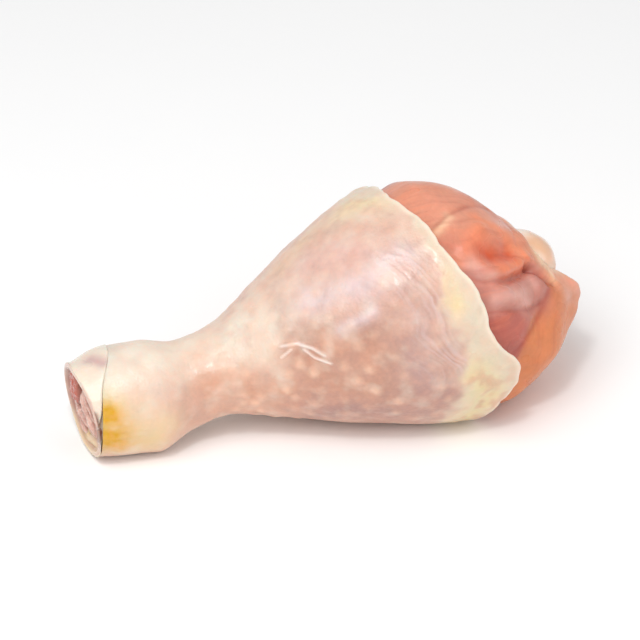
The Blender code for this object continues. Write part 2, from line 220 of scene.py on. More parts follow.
class DrumstickSkin(bpy.types.PropertyGroup):
    wall: length("Wall", "Thickness of the skin with its fat", SKIN_WALL)
    knee_wall: length("Knee edge", "Thickness at the cut edge round the knee", 0.85)
    ankle_wall: length("Ankle edge", "Thickness at the cut edge round the ankle", 0.4)
    lumps: length("Lumps", "Depth of the broad unevenness", 0.35)
    wrinkles: length("Wrinkles", "Depth of the stretch lines beside the fat band", 0.11)
    follicle_width: length("Follicle width", "Radius of one feather follicle's bump", 2.1)
    follicle_height: length("Follicle height", "Height of one feather follicle's bump", 0.36)
    follicles_round: IntProperty(name="Follicles round", description="Follicles in one row round the leg",
                                 default=26, min=6)
    follicle_rows: IntProperty(name="Follicle rows", description="Rows of follicles from ankle to knee",
                               default=16, min=4)
    belly: paint("Belly", "Colour of the belly's skin", "DEB7A5")
    cream: paint("Cream", "Colour of the shank's pale skin", "F3E3D2")
    rose: paint("Rose", "Colour of the pinker skin near the top", "E5B7B2")
    flesh: paint("Flesh", "Colour of the thin skin over the front of the belly", "B98C79")
    salmon: paint("Salmon", "Colour of the lower side", "D79D81")
    # Also painted shade in the grooves of the stretch lines.
    mauve: paint("Mauve", "Colour where dark meat shows through", "B98E82")
    butter: paint("Butter", "Colour of the yellowish patch near the top", "F2D9AC")
    fat: paint("Fat", "Colour of the fat band at the knee edge", "E7D6BF")
    rich_fat: paint("Rich fat", "Colour of the fat band's yellow parts", "ECD8A6")
    # The cut edge's own pale colour and a painted highlight along it.
    edge: paint("Edge", "Colour of the thin cut edge", "FBE6D2")
    # Partly a silvery film on the belly and partly a painted highlight.
    film_and_painted_highlight: paint("Haze", "Colour of the silvery film on the belly", "E9D6DA")
    # Painted highlight: the warm white laid on the glossy folds as glints.
    painted_glint: paint("Crease", "Colour of the small folds that are stretched thin", "F6E4DA")
    ochre: paint("Ochre", "Colour of the scaly patch at the ankle", "E0A406")
    dots: paint("Dots", "Colour of the feather follicles", "F1C5AA")


class DrumstickMuscle(bpy.types.PropertyGroup):
    lumps: length("Lumps", "Depth of the muscle's broad unevenness", 0.25)
    fibre_width: length("Fibre width", "Spacing of the muscle fibres", 1.1)
    fibre_depth: length("Fibre depth", "Depth of the grooves between fibres", 0.14)
    thigh: paint("Top muscle", "Colour of the long muscle on top", "DE967C")
    dimple: paint("Dimple", "Colour of the dimple in the top muscle", "DC5C32")
    # Partly the folds' own bright orange and partly a painted highlight on their ridges; in the fibres it
    # makes the paler streaks.
    rim: paint("Rim", "Colour of the bright folds", "F2926A")
    silver: paint("Silverskin", "Colour of the muscle under silverskin", "C27E70")
    dark: paint("Dark muscle", "Colour of the dark muscle in the middle", "BD6557")
    orange: paint("End muscle", "Colour of the muscle at the knee's corner", "D88558")
    # Painted shade in the grooves, along the top outline and past the skin's edge; in the fibres it makes the
    # darker streaks.
    dark_fibre_and_painted_shade: paint("Deep", "Colour inside the grooves", "A8473A")
    # Partly a pale film over the muscle and partly a painted highlight.
    veil_and_painted_highlight: paint("Veil", "Colour of the pale film over the muscle", "E9B9AC")
    fleck: paint("Fleck", "Colour of fat on the muscle", "F3D3AE")


class DrumstickBone(bpy.types.PropertyGroup):
    gristle: paint("Gristle", "Colour of the white rim and collar", "EFE2CF")
    sinew: paint("Sinew", "Colour of the pale streaks in the sinews", "EBC9BA")
    # The sunk face's own colour, made darker as painted shade; it also lays painted shade on the rim's back.
    sunk_face_and_painted_shade: paint("Bed", "Colour of the sunk part of the ankle face", "A96C60")
    cartilage: paint("Cartilage", "Colour of the knee's smooth cartilage", "FBF0E4")
    capsule: paint("Capsule", "Colour of the knee's thin capsule", "EBBC98")
    strand: paint("Strand", "Colour of the strands across the ankle face", "C99A8C")
    # Painted shade in the grooves of the ankle face and in the gap beside the skin.
    painted_groove_shade: paint("Groove", "Colour of the grooves between the strands", "84503F")
    foot_fat: paint("Foot fat", "Colour of the yellow lower end of the face", "EBCFA0")
    # Painted shade in the dent on top of the collar.
    painted_dent_shade: paint("Dusk", "Colour of the dent on top of the collar", "C79A9B")
    tendon: paint("Tendon", "Colour of the red stump", "B4503A")


class DrumstickStage(bpy.types.PropertyGroup):
    elevation: FloatProperty(name="Elevation", description="Camera's height above the horizon",
                             default=math.radians(35.0), subtype="ANGLE")
    azimuth: FloatProperty(name="Azimuth", description="Camera's turn round the leg from straight in front",
                           default=math.radians(-20.0), subtype="ANGLE")
    distance: length("Distance", "Camera's distance from the point it looks at", 703.3)
    aim_left: length("Aim left", "How far the camera looks to the left of the leg's middle", 0.65)
    aim_low: length("Aim low", "How far the camera looks below the leg's middle", 1.68)
    lens: FloatProperty(name="Lens", description="Focal length of the camera in millimetres", default=170.0,
                        min=10.0)
    key: FloatProperty(name="Key light", description="Power of the soft light from the upper left",
                       default=2.54, min=0.0, unit="POWER")
    fill: FloatProperty(name="Fill light", description="Power of the wide light from the right",
                        default=1.0, min=0.0, unit="POWER")
    glint: FloatProperty(name="Glint light", description="Power of the small light that glints on wet flesh",
                         default=0.55, min=0.0, unit="POWER")
    sky: FloatProperty(name="Sky", description="Strength of the even light all round", default=0.565, min=0.0)
    floor: paint("Floor", "Colour of the pale floor", "FCFCFC")


GROUPS = (
    ("drumstick_skin", DrumstickSkin),
    ("drumstick_muscle", DrumstickMuscle),
    ("drumstick_bone", DrumstickBone),
    ("drumstick_stage", DrumstickStage),
)


# ---- Shape of the leg ----

def smooth_step(value):
    """0 below 0, 1 above 1, and smooth between."""
    value = np.clip(value, 0.0, 1.0)
    return value * value * (3.0 - 2.0 * value)


def ramp(value, start, width):
    """0 before start, 1 from start + width on, and smooth between."""
    return smooth_step((value - start) / width)


def through(points, values, x):
    """Read a smooth curve through (points, values) at x, with no overshoot past a peak."""
    points = np.asarray(points, float)
    values = np.asarray(values, float)
    steps = np.diff(points)
    slopes = np.diff(values) / steps
    tangents = np.concatenate(([slopes[0]], (slopes[:-1] + slopes[1:]) / 2, [slopes[-1]]))
    limit = 3.0 * np.minimum(np.abs(slopes[:-1]), np.abs(slopes[1:]))
    tangents[1:-1] = np.where(slopes[:-1] * slopes[1:] > 0, np.clip(tangents[1:-1], -limit, limit), 0.0)
    x = np.clip(x, points[0], points[-1])
    i = np.clip(np.searchsorted(points, x, side="right") - 1, 0, len(steps) - 1)
    t = (x - points[i]) / steps[i]
    return ((1 + 2 * t) * (1 - t) ** 2 * values[i] + t * (1 - t) ** 2 * steps[i] * tangents[i]
            + t * t * (3 - 2 * t) * values[i + 1] + t * t * (t - 1) * steps[i] * tangents[i + 1])


def round_curve(edge, angle):
    """Read a closed curve of (angle, x) points at any angle."""
    angles = np.array([point[0] for point in edge], float)
    places = np.array([point[1] for point in edge], float)
    angles = np.concatenate((angles - 360.0, angles, angles + 360.0))
    return through(angles, np.tile(places, 3), np.mod(angle, 360.0))


def turn_between(angle, centre):
    """Signed turn from centre to angle, from -180 to 180 degrees."""
    return np.mod(angle - centre + 180.0, 360.0) - 180.0


def leg_surface(x, angle, inset=0.0):
    """Points of the leg's outline at x and angle, moved in by inset."""
    x, angle, inset = np.broadcast_arrays(np.asarray(x, float), np.asarray(angle, float), inset)
    table = np.array(STATIONS)
    centre_y, centre_z, half, ratio = (through(table[:, 0], table[:, k], x) for k in range(1, 5))
    closing = np.clip((x - DOME_START) / (DOME_END - DOME_START), 0.0, 1.0)
    dome = (1.0 - closing ** DOME_POWER) ** (1.0 / DOME_POWER)
    shrink = (DOME_END - DOME_START - inset) / (DOME_END - DOME_START)
    turn = np.radians(angle)
    points = np.stack((
        np.where(x > DOME_START, DOME_START + (x - DOME_START) * shrink, x),
        centre_y - (half * ratio - inset) * dome * np.sin(turn),
        centre_z + (half - inset) * dome * np.cos(turn),
    ), axis=-1)
    return settle(trim_knee(points, inset), inset)


def trim_knee(points, inset):
    """Pull points past the knee cut back to it, towards the core."""
    facing = np.array(KNEE_FACING) / np.linalg.norm(KNEE_FACING)
    offset = points - np.array(CORE)
    ratio = (KNEE_REACH - inset) / np.maximum(offset @ facing, 1e-3)
    ratio = np.minimum(ratio, 4.0)
    keep = -KNEE_ROUNDING * np.log(np.exp(-1.0 / KNEE_ROUNDING) + np.exp(-ratio / KNEE_ROUNDING))
    return np.array(CORE) + offset * keep[..., None]


def settle(points, inset):
    """Flatten what lies lower than the resting surface, with a rounded start."""
    lowest = np.maximum(inset, 0.0)
    depth = np.interp(points[..., 0], SETTLE_BETWEEN, (SETTLE_ANKLE, SETTLE_BELLY))
    height = points[..., 2] - lowest
    eased = (height + depth) ** 2 / (4.0 * depth)
    height = np.where(height < -depth, 0.0, np.where(height < depth, eased, height))
    points[..., 2] = height + lowest
    return points


def under_swell(x, angle):
    """How far the shank's lower front edge swells past the plain leg."""
    places, rises = zip(*UNDER_SWELL)
    return through(places, rises, x) * bell(turn_between(angle, UNDER_ANGLE), UNDER_SPREAD)


def route_distance(points, route):
    """Distance from each point to a route over the leg's outline."""
    stops = leg_surface([x for x, _ in route], [angle for _, angle in route])
    return path_distance(points, stops)


def path_distance(points, stops):
    """Distance from each point to a line through a few stops."""
    best = np.linalg.norm(points - stops[0], axis=-1)
    for start, end in zip(stops[:-1], stops[1:]):
        run, offset = end - start, points - start
        along = np.clip(offset @ run / (run @ run), 0.0, 1.0)
        best = np.minimum(best, np.linalg.norm(offset - along[..., None] * run, axis=-1))
    return best


def beside_route(points, outward, route):
    """How far each point lies along a route, to one side of it, and from it."""
    stops = leg_surface([x for x, _ in route], [angle for _, angle in route])
    nearest = np.full(points.shape[:-1], np.inf)
    along, side = np.zeros_like(nearest), np.zeros_like(nearest)
    before = 0.0
    for start, end in zip(stops[:-1], stops[1:]):
        run, offset = end - start, points - start
        span = np.linalg.norm(run)
        reached = offset @ run / span
        gap = np.linalg.norm(offset - np.clip(reached / span, 0.0, 1.0)[..., None] * run, axis=-1)
        across = np.sum(np.cross(run, offset) * outward, axis=-1) / span
        closer = gap < nearest
        along = np.where(closer, before + reached, along)
        side = np.where(closer, across, side)
        nearest = np.minimum(nearest, gap)
        before += span
    return along, side, nearest


def bell(distance, half_width):
    """1 at no distance, falling off smoothly past half_width."""
    return np.exp(-(distance / half_width) ** 2)


def waver(points, size, seed, octaves=2):
    """Smooth unevenness from about -1 to 1, in lumps of one size, the same each time for one seed."""
    shift = np.array((7.3, 3.1, 5.7)) * seed
    places = points.reshape(-1, 3) / size + shift
    values = [noise.fractal(Vector(place), 1.0, 2.0, octaves) for place in places]
    return np.array(values).reshape(points.shape[:-1])


# ---- Mesh making ----

def grid_normals(points):
    """Outward normals of a grid of points: rows run along X and columns run round the leg."""
    along = np.gradient(points, axis=0)
    around = np.roll(points, -1, axis=1) - np.roll(points, 1, axis=1)
    normal = np.cross(around, along)
    return normal / np.maximum(np.linalg.norm(normal, axis=-1, keepdims=True), 1e-9)


def grid_object(name, rows, layers=None, uv_rows=None, ring=False, start=False, end=False):
    """Mesh object over a grid of points.

    ring joins the last row to the first, and start and end close a row with a pole. layers are
    values for each point, of one number, a vector or a colour. uv_rows gives V for each row.
    """
    count, sides = rows.shape[:2]
    poles = [k for k, wanted in ((0, start), (count - 1, end)) if wanted]
    stack = [rows.reshape(-1, 3)] + [rows[k].mean(axis=0, keepdims=True) for k in poles]
    index = np.arange(count * sides).reshape(count, sides)
    rolled = np.roll(index, -1, axis=1)
    low = index if ring else index[:-1]
    low_next = rolled if ring else rolled[:-1]
    high = np.roll(index, -1, axis=0) if ring else index[1:]
    high_next = np.roll(rolled, -1, axis=0) if ring else rolled[1:]
    faces = np.stack((low, low_next, high_next, high), axis=-1).reshape(-1, 4).tolist()
    for number, k in enumerate(poles):
        tip = count * sides + number
        turned = (rolled[k], index[k]) if k == 0 else (index[k], rolled[k])
        faces += [(tip, int(a), int(b)) for a, b in zip(*turned)]
    mesh = bpy.data.meshes.new(name)
    mesh.from_pydata((np.concatenate(stack) * MM).tolist(), [], faces)
    for layer, values in (layers or {}).items():
        values = np.asarray(values, float)
        flat = values.reshape(count * sides, -1)
        extra = [values[k].reshape(sides, -1).mean(axis=0, keepdims=True) for k in poles]
        set_layer(mesh, layer, np.concatenate([flat] + extra))
    if uv_rows is not None:
        set_uv(mesh, uv_rows, sides)
    mesh.shade_smooth()
    mesh.update()
    made = bpy.data.objects.new(name, mesh)
    bpy.context.scene.collection.objects.link(made)
    return made


def set_layer(mesh, name, values):
    """Store one number, vector or colour for each vertex."""
    kinds = {1: ("FLOAT", "value"), 3: ("FLOAT_VECTOR", "vector"), 4: ("FLOAT_COLOR", "color")}
    kind, field = kinds[values.shape[1]]
    layer = mesh.attributes.new(name, kind, "POINT")
    layer.data.foreach_set(field, values.astype(np.float32).ravel())


def set_uv(mesh, uv_rows, sides):
    """UV map with U round the leg and V by row. The last column ends at U = 1, and a joining row runs on."""
    corners = np.zeros(len(mesh.loops), int)
    mesh.loops.foreach_get("vertex_index", corners)
    row, column = np.minimum(corners // sides, len(uv_rows) - 1), corners % sides
    u, v = column / sides, np.asarray(uv_rows)[row]
    starts = np.array([polygon.loop_start for polygon in mesh.polygons])
    totals = np.array([polygon.loop_total for polygon in mesh.polygons])
    face = np.repeat(np.arange(len(starts)), totals)
    highest = np.maximum.reduceat(u, starts)
    u = np.where((highest[face] > 0.5) & (u == 0.0), 1.0, u)
    last = np.maximum.reduceat(v, starts)[face] == uv_rows[-1]
    v = np.where(last & (row == 0), uv_rows[-1] + 0.1, v)
    layer = mesh.uv_layers.new(name="leg")
    layer.uv.foreach_set("vector", np.stack((u, v), axis=-1).astype(np.float32).ravel())


def colour_of(mix):
    """Colours with a full alpha, for a colour layer."""
    return np.concatenate((mix, np.ones(mix.shape[:-1] + (1,))), axis=-1)


def blend_in(tint, colour, amount):
    """Mix one colour into a field of colours, by an amount for each point."""
    amount = np.clip(amount, 0.0, 1.0)[..., None]
    return tint * (1.0 - amount) + np.array(colour) * amount


def dress(piece, node):
    """Set a finished piece to ride on the body; it may stand for a solid, which is then hidden."""
    if node:
        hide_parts(node)
    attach(piece, BODY)


# ---- Node trees ----

def add(tree, kind, sockets=None, **settings):
    """New node. sockets gives each input, by name or number, a value or another node's output."""
    item = tree.nodes.new(kind)
    for name, value in settings.items():
        setattr(item, name, value)
    for key, value in (sockets or {}).items():
        if isinstance(value, bpy.types.NodeSocket):
            tree.links.new(value, item.inputs[key])
        else:
            item.inputs[key].default_value = value
    return item


def maths(tree, operation, first, second=0.0, third=0.0):
    """Result of one sum on up to three numbers."""
    sockets = {0: first, 1: second, 2: third}
    return add(tree, "ShaderNodeMath", sockets, operation=operation).outputs[0]


def remap(tree, value, low, high, new_low=0.0, new_high=1.0):
    """Map a value from one range to another, eased at both ends."""
    sockets = {0: value, 1: low, 2: high, 3: new_low, 4: new_high}
    return add(tree, "ShaderNodeMapRange", sockets, interpolation_type="SMOOTHSTEP").outputs[0]


def mix_colours(tree, amount, first, second):
    """The first colour where amount is 0, and the second where it is 1."""
    return add(tree, "ShaderNodeMix", {0: amount, 6: first, 7: second}, data_type="RGBA").outputs[2]


def vector_maths(tree, operation, first, second):
    """Vector maths of two vectors, or of a vector and a number for SCALE."""
    key = "Scale" if operation == "SCALE" else 1
    return add(tree, "ShaderNodeVectorMath", {0: first, key: second}, operation=operation).outputs[0]


def clouds(tree, place, scale, detail, roughness=0.5):
    """Outputs of a soft noise texture: a number first, and a colour."""
    sockets = {"Vector": place, "Scale": scale, "Detail": detail, "Roughness": roughness}
    return add(tree, "ShaderNodeTexNoise", sockets).outputs


def push_out(tree, geometry, height):
    """Move each point of a mesh along its normal."""
    normal = add(tree, "GeometryNodeInputNormal").outputs[0]
    offset = vector_maths(tree, "SCALE", normal, height)
    return add(tree, "GeometryNodeSetPosition", {"Geometry": geometry, "Offset": offset}).outputs[0]


def add_inputs(tree, inputs):
    """Inputs of a node group: label, kind and default."""
    for label, kind, default in inputs:
        socket = tree.interface.new_socket(label, in_out="INPUT", socket_type=kind)
        if default is not None:
            socket.default_value = default


def new_shape_tree(name, inputs):
    """Geometry Nodes tree with a geometry input, named inputs and a geometry output."""
    tree = bpy.data.node_groups.new(name, "GeometryNodeTree")
    tree.interface.new_socket("Geometry", in_out="INPUT", socket_type="NodeSocketGeometry")
    add_inputs(tree, inputs)
    tree.interface.new_socket("Geometry", in_out="OUTPUT", socket_type="NodeSocketGeometry")
    return tree, add(tree, "NodeGroupInput").outputs


def end_shape_tree(tree, geometry, material):
    """Realize what the tree made, give it its material and put it out."""
    real = add(tree, "GeometryNodeRealizeInstances", {0: geometry}).outputs[0]
    painted = add(tree, "GeometryNodeSetMaterial", {"Geometry": real, "Material": material}).outputs[0]
    add(tree, "NodeGroupOutput", {0: painted})


def layer_of(tree, name, kind="FLOAT"):
    """Values of a mesh layer, in a Geometry Nodes tree."""
    item = add(tree, "GeometryNodeInputNamedAttribute", {"Name": name}, data_type=kind)
    return item.outputs["Attribute"]


def run_tree(piece, tree, values):
    """Shape a piece with a tree and keep the result as its plain mesh."""
    shaping = piece.modifiers.new(tree.name, "NODES")
    shaping.node_group = tree
    for socket in tree.interface.items_tree:
        if socket.in_out == "INPUT" and socket.name in values:
            shaping[socket.identifier] = values[socket.name]
    apply_modifiers(piece)


def apply_modifiers(piece):
    """Put a piece's shaped mesh in place of its own, and drop its modifiers."""
    bpy.context.view_layer.update()
    graph = bpy.context.evaluated_depsgraph_get()
    mesh = bpy.data.meshes.new_from_object(piece.evaluated_get(graph), preserve_all_data_layers=True,
                                           depsgraph=graph)
    piece.modifiers.clear()
    old = piece.data
    piece.data = mesh
    bpy.data.meshes.remove(old)
    mesh.name = piece.name


def take_out(piece, cutter):
    """Cut the cutter's shape out of a piece, then drop the cutter."""
    cutting = piece.modifiers.new("room", "BOOLEAN")
    cutting.operation = "DIFFERENCE"
    cutting.solver = "EXACT"
    cutting.object = cutter
    apply_modifiers(piece)
    bpy.data.objects.remove(cutter, do_unlink=True)


def follicle_tree():
    """Soft bumps on a slanted lattice of points that is laid over the UV map.

    Points are numbered row by row. Odd rows are moved half a step, and each point is nudged at
    random. The bump under the nearest point is kept as the layer follicle.
    """
    tree, given = new_shape_tree("follicles", (
        ("Round", "NodeSocketInt", 26), ("Rows", "NodeSocketInt", 16), ("Nudge", "NodeSocketFloat", 0.3),
        ("Width", "NodeSocketFloat", 0.0021), ("Height", "NodeSocketFloat", 0.00036),
        ("Seed", "NodeSocketInt", 3), ("Material", "NodeSocketMaterial", None),
    ))
    number = add(tree, "GeometryNodeInputIndex").outputs[0]
    middle = maths(tree, "ADD", number, 0.5)
    row = maths(tree, "FLOOR", maths(tree, "DIVIDE", middle, given["Round"]))
    column = maths(tree, "SUBTRACT", number, maths(tree, "MULTIPLY", row, given["Round"]))
    odd = maths(tree, "MULTIPLY", maths(tree, "PINGPONG", row, 1.0), 0.5)
    nudges = add(tree, "FunctionNodeRandomValue",
                 {"Seed": given["Seed"], "Min": (-1, -1, -1), "Max": (1, 1, 1)},
                 data_type="FLOAT_VECTOR").outputs[0]
    nudge = add(tree, "ShaderNodeSeparateXYZ", {0: nudges}).outputs
    across = maths(tree, "ADD", column, maths(tree, "MULTIPLY_ADD", nudge[0], given["Nudge"], odd))
    along = maths(tree, "ADD", maths(tree, "MULTIPLY_ADD", nudge[1], given["Nudge"], 0.5), row)
    u = maths(tree, "FRACT", maths(tree, "DIVIDE", across, given["Round"]))
    v = maths(tree, "DIVIDE", along, given["Rows"])
    place = add(tree, "ShaderNodeCombineXYZ", {0: u, 1: v}).outputs[0]
    count = maths(tree, "MULTIPLY", given["Round"], given["Rows"])
    lattice = add(tree, "GeometryNodePoints", {"Count": count, "Position": place}).outputs[0]
    spot = add(tree, "GeometryNodeInputPosition").outputs[0]
    uv_map = layer_of(tree, "leg", "FLOAT_VECTOR")
    landed = add(tree, "GeometryNodeSampleUVSurface",
                 {"Mesh": given["Geometry"], "Value": spot, "UV Map": uv_map, "Sample UV": spot},
                 data_type="FLOAT_VECTOR")
    points = add(tree, "GeometryNodeSetPosition",
                 {"Geometry": lattice, "Selection": landed.outputs["Is Valid"],
                  "Position": landed.outputs["Value"]}).outputs[0]
    gap = add(tree, "GeometryNodeProximity", {0: points}, target_element="POINTS").outputs["Distance"]
    rise = maths(tree, "MULTIPLY", remap(tree, gap, given["Width"], 0.0), layer_of(tree, "downy"))
    kept = add(tree, "GeometryNodeStoreNamedAttribute",
               {"Geometry": given["Geometry"], "Name": "follicle", "Value": rise},
               data_type="FLOAT").outputs[0]
    moved = push_out(tree, kept, maths(tree, "MULTIPLY", rise, given["Height"]))
    end_shape_tree(tree, moved, given["Material"])
    return tree


def fibre_tree():
    """Shallow ridges along the muscle's grain, from the layer grain, where the layer bare allows."""
    tree, given = new_shape_tree("muscle fibres", (
        ("Spacing", "NodeSocketFloat", 0.0011), ("Depth", "NodeSocketFloat", 0.00014),
        ("Stretch", "NodeSocketFloat", 9.0), ("Seed", "NodeSocketInt", 2),
        ("Material", "NodeSocketMaterial", None),
    ))
    grain = add(tree, "ShaderNodeSeparateXYZ", {0: layer_of(tree, "grain", "FLOAT_VECTOR")}).outputs
    scaled = add(tree, "ShaderNodeCombineXYZ", {
        0: maths(tree, "DIVIDE", grain[0], maths(tree, "MULTIPLY", given["Spacing"], given["Stretch"])),
        1: maths(tree, "DIVIDE", grain[1], given["Spacing"]),
        2: maths(tree, "DIVIDE", grain[2], given["Spacing"]),
    }).outputs[0]
    ridges = clouds(tree, vector_maths(tree, "ADD", scaled, given["Seed"]), 1.0, 2.0)[0]
    height = maths(tree, "MULTIPLY", maths(tree, "SUBTRACT", ridges, 0.5), given["Depth"])
    height = maths(tree, "MULTIPLY", height, layer_of(tree, "bare"))
    end_shape_tree(tree, push_out(tree, given["Geometry"], height), given["Material"])
    return tree


# ---- Shared shader groups ----

def new_effect(name, inputs, outputs):
    """Shader node group with named inputs and outputs."""
    group = bpy.data.node_groups.new(name, "ShaderNodeTree")
    add_inputs(group, inputs)
    for label, kind in outputs:
        group.interface.new_socket(label, in_out="OUTPUT", socket_type=kind)
    return group, add(group, "NodeGroupInput").outputs


def mottling_group():
    """Blotches of two sizes: a soft mask, and a light or dark factor for a colour."""
    name = "flesh mottling"
    if name in bpy.data.node_groups:
        return bpy.data.node_groups[name]
    group, given = new_effect(name, (
        ("Vector", "NodeSocketVector", None), ("Scale", "NodeSocketFloat", 150.0),
        ("Contrast", "NodeSocketFloat", 0.1),
    ), (("Mask", "NodeSocketFloat"), ("Factor", "NodeSocketFloat")))
    broad = clouds(group, given["Vector"], given["Scale"], 3.0)[0]
    fine = clouds(group, given["Vector"], maths(group, "MULTIPLY", given["Scale"], 5.0), 2.0)[0]
    both = maths(group, "MULTIPLY_ADD", fine, 0.35, maths(group, "MULTIPLY", broad, 0.65))
    mask = remap(group, both, 0.38, 0.62)
    factor = maths(group, "MULTIPLY_ADD", maths(group, "SUBTRACT", both, 0.5), given["Contrast"], 1.0)
    add(group, "NodeGroupOutput", {"Mask": mask, "Factor": factor})
    return group


def moist_group():
    """Height of fine pores and creases for a Bump node, and an uneven roughness for a wet film."""
    name = "moist surface"
    if name in bpy.data.node_groups:
        return bpy.data.node_groups[name]
    group, given = new_effect(name, (
        ("Vector", "NodeSocketVector", None), ("Pore Scale", "NodeSocketFloat", 1400.0),
        ("Wet", "NodeSocketFloat", 0.5), ("Dry Roughness", "NodeSocketFloat", 0.5),
        ("Wet Roughness", "NodeSocketFloat", 0.25),
    ), (("Height", "NodeSocketFloat"), ("Roughness", "NodeSocketFloat")))
    pores = add(group, "ShaderNodeTexVoronoi",
                {"Vector": given["Vector"], "Scale": given["Pore Scale"]}).outputs["Distance"]
    crease_scale = maths(group, "MULTIPLY", given["Pore Scale"], 0.35)
    creases = clouds(group, given["Vector"], crease_scale, 4.0, 0.6)[0]
    height = maths(group, "MULTIPLY_ADD", pores, 0.3, creases)
    film = clouds(group, given["Vector"], 90.0, 2.0)[0]
    wet = maths(group, "MULTIPLY", remap(group, film, 0.35, 0.65, 0.5, 1.0), given["Wet"])
    rough = add(group, "ShaderNodeMapRange", {0: wet, 3: given["Dry Roughness"], 4: given["Wet Roughness"]})
    add(group, "NodeGroupOutput", {"Height": height, "Roughness": rough.outputs[0]})
    return group


def new_material(name, **fixed):
    """Material with one Principled shader. fixed are the inputs that are the same all over."""
    material = bpy.data.materials.new(name)
    material.use_nodes = True
    shader = material.node_tree.nodes["Principled BSDF"]
    for label, value in fixed.items():
        shader.inputs[label.replace("_", " ")].default_value = value
    return material, material.node_tree, shader


def object_place(tree):
    """Place of each point in its piece's own space."""
    return add(tree, "ShaderNodeTexCoord").outputs["Object"]


def layer(tree, name, output="Fac"):
    """Values of a mesh layer, in a material."""
    return add(tree, "ShaderNodeAttribute", attribute_name=name).outputs[output]


def bump(tree, shader, height, depth):
    """Relief that is too fine for the mesh, depth metres deep."""
    sockets = {"Strength": 1.0, "Distance": depth, "Height": height}
    tree.links.new(add(tree, "ShaderNodeBump", sockets).outputs[0], shader.inputs["Normal"])


def moist_finish(tree, shader, place, pore_scale, depth, wet, dry=0.5, glossy=0.25):
    """Pores and an uneven wet film, the same effect in every raw surface."""
    effect = add(tree, "ShaderNodeGroup", node_tree=moist_group())
    for key, value in {"Pore Scale": pore_scale, "Dry Roughness": dry, "Wet Roughness": glossy}.items():
        effect.inputs[key].default_value = value
    tree.links.new(place, effect.inputs["Vector"])
    if isinstance(wet, bpy.types.NodeSocket):
        tree.links.new(wet, effect.inputs["Wet"])
    else:
        effect.inputs["Wet"].default_value = wet
    tree.links.new(effect.outputs["Roughness"], shader.inputs["Roughness"])
    bump(tree, shader, effect.outputs["Height"], depth)


def mottle(tree, place, scale, contrast):
    """Mask and factor of the blotches, the same effect in every surface."""
    effect = add(tree, "ShaderNodeGroup", node_tree=mottling_group())
    tree.links.new(place, effect.inputs["Vector"])
    effect.inputs["Scale"].default_value = scale
    effect.inputs["Contrast"].default_value = contrast
    return effect.outputs["Mask"], effect.outputs["Factor"]


def shade_colour(tree, colour, factor):
    """Make a colour lighter or darker by a factor that varies over the surface."""
    return vector_maths(tree, "SCALE", colour, factor)


def skin_material(size):
    """Skin: its layer colour with blushes and pale follicles, under a wet coat."""
    material, tree, shader = new_material(
        "raw skin", Subsurface_Weight=0.35, Subsurface_Radius=(1.0, 0.42, 0.3), Subsurface_Scale=0.0035,
        IOR=1.4, Specular_IOR_Level=0.7, Coat_Weight=0.16, Coat_Roughness=0.12)
    place = object_place(tree)
    mask, factor = mottle(tree, place, 210.0, 0.45)
    tint = layer(tree, "tint", "Color")
    blushed = mix_colours(tree, maths(tree, "MULTIPLY", mask, 0.2), tint, (*size.salmon, 1.0))
    dots = maths(tree, "MULTIPLY", layer(tree, "follicle"), 0.56)
    dotted = mix_colours(tree, dots, blushed, (*size.dots, 1.0))
    tree.links.new(shade_colour(tree, dotted, factor), shader.inputs["Base Color"])
    moist_finish(tree, shader, place, 1300.0, 0.00016, layer(tree, "wet"), dry=0.5, glossy=0.2)
    return material


def muscle_material(size):
    """Muscle: its layer colour, streaked along the fibres, under a wet coat."""
    material, tree, shader = new_material(
        "raw muscle", Subsurface_Weight=0.3, Subsurface_Radius=(1.0, 0.25, 0.15), Subsurface_Scale=0.003,
        IOR=1.4, Specular_IOR_Level=0.35, Coat_Weight=0.12, Coat_Roughness=0.08)
    place = object_place(tree)
    _, factor = mottle(tree, place, 190.0, 0.45)
    tint = layer(tree, "tint", "Color")
    grain = vector_maths(tree, "MULTIPLY", layer(tree, "grain", "Vector"), (45.0, 520.0, 520.0))
    fibres = clouds(tree, grain, 1.0, 3.0)[0]
    streaked = mix_colours(tree, remap(tree, fibres, 0.5, 0.75, 0.0, 0.2), tint, (*size.rim, 1.0))
    darker = mix_colours(tree, remap(tree, fibres, 0.5, 0.25, 0.0, 0.22), streaked, (*size.dark_fibre_and_painted_shade, 1.0))
    tree.links.new(shade_colour(tree, darker, factor), shader.inputs["Base Color"])
    moist_finish(tree, shader, place, 1100.0, 0.00009, layer(tree, "wet"), dry=0.55, glossy=0.22)
    return material


def gristle_material(name, size, red):
    """Bone, cartilage and sinew: a pale layer colour with a little blood in it."""
    material, tree, shader = new_material(
        name, Subsurface_Weight=0.3, Subsurface_Radius=(1.0, 0.5, 0.35), Subsurface_Scale=0.002,
        IOR=1.42, Coat_Weight=0.5, Coat_Roughness=0.1)
    place = object_place(tree)
    mask, factor = mottle(tree, place, 260.0, 0.4)
    tint = layer(tree, "tint", "Color")
    bloody = mix_colours(tree, maths(tree, "MULTIPLY", mask, red), tint, (*size.strand, 1.0))
    tree.links.new(shade_colour(tree, bloody, factor), shader.inputs["Base Color"])
    moist_finish(tree, shader, place, 1800.0, 0.00004, layer(tree, "wet"), dry=0.5, glossy=0.2)
    return material


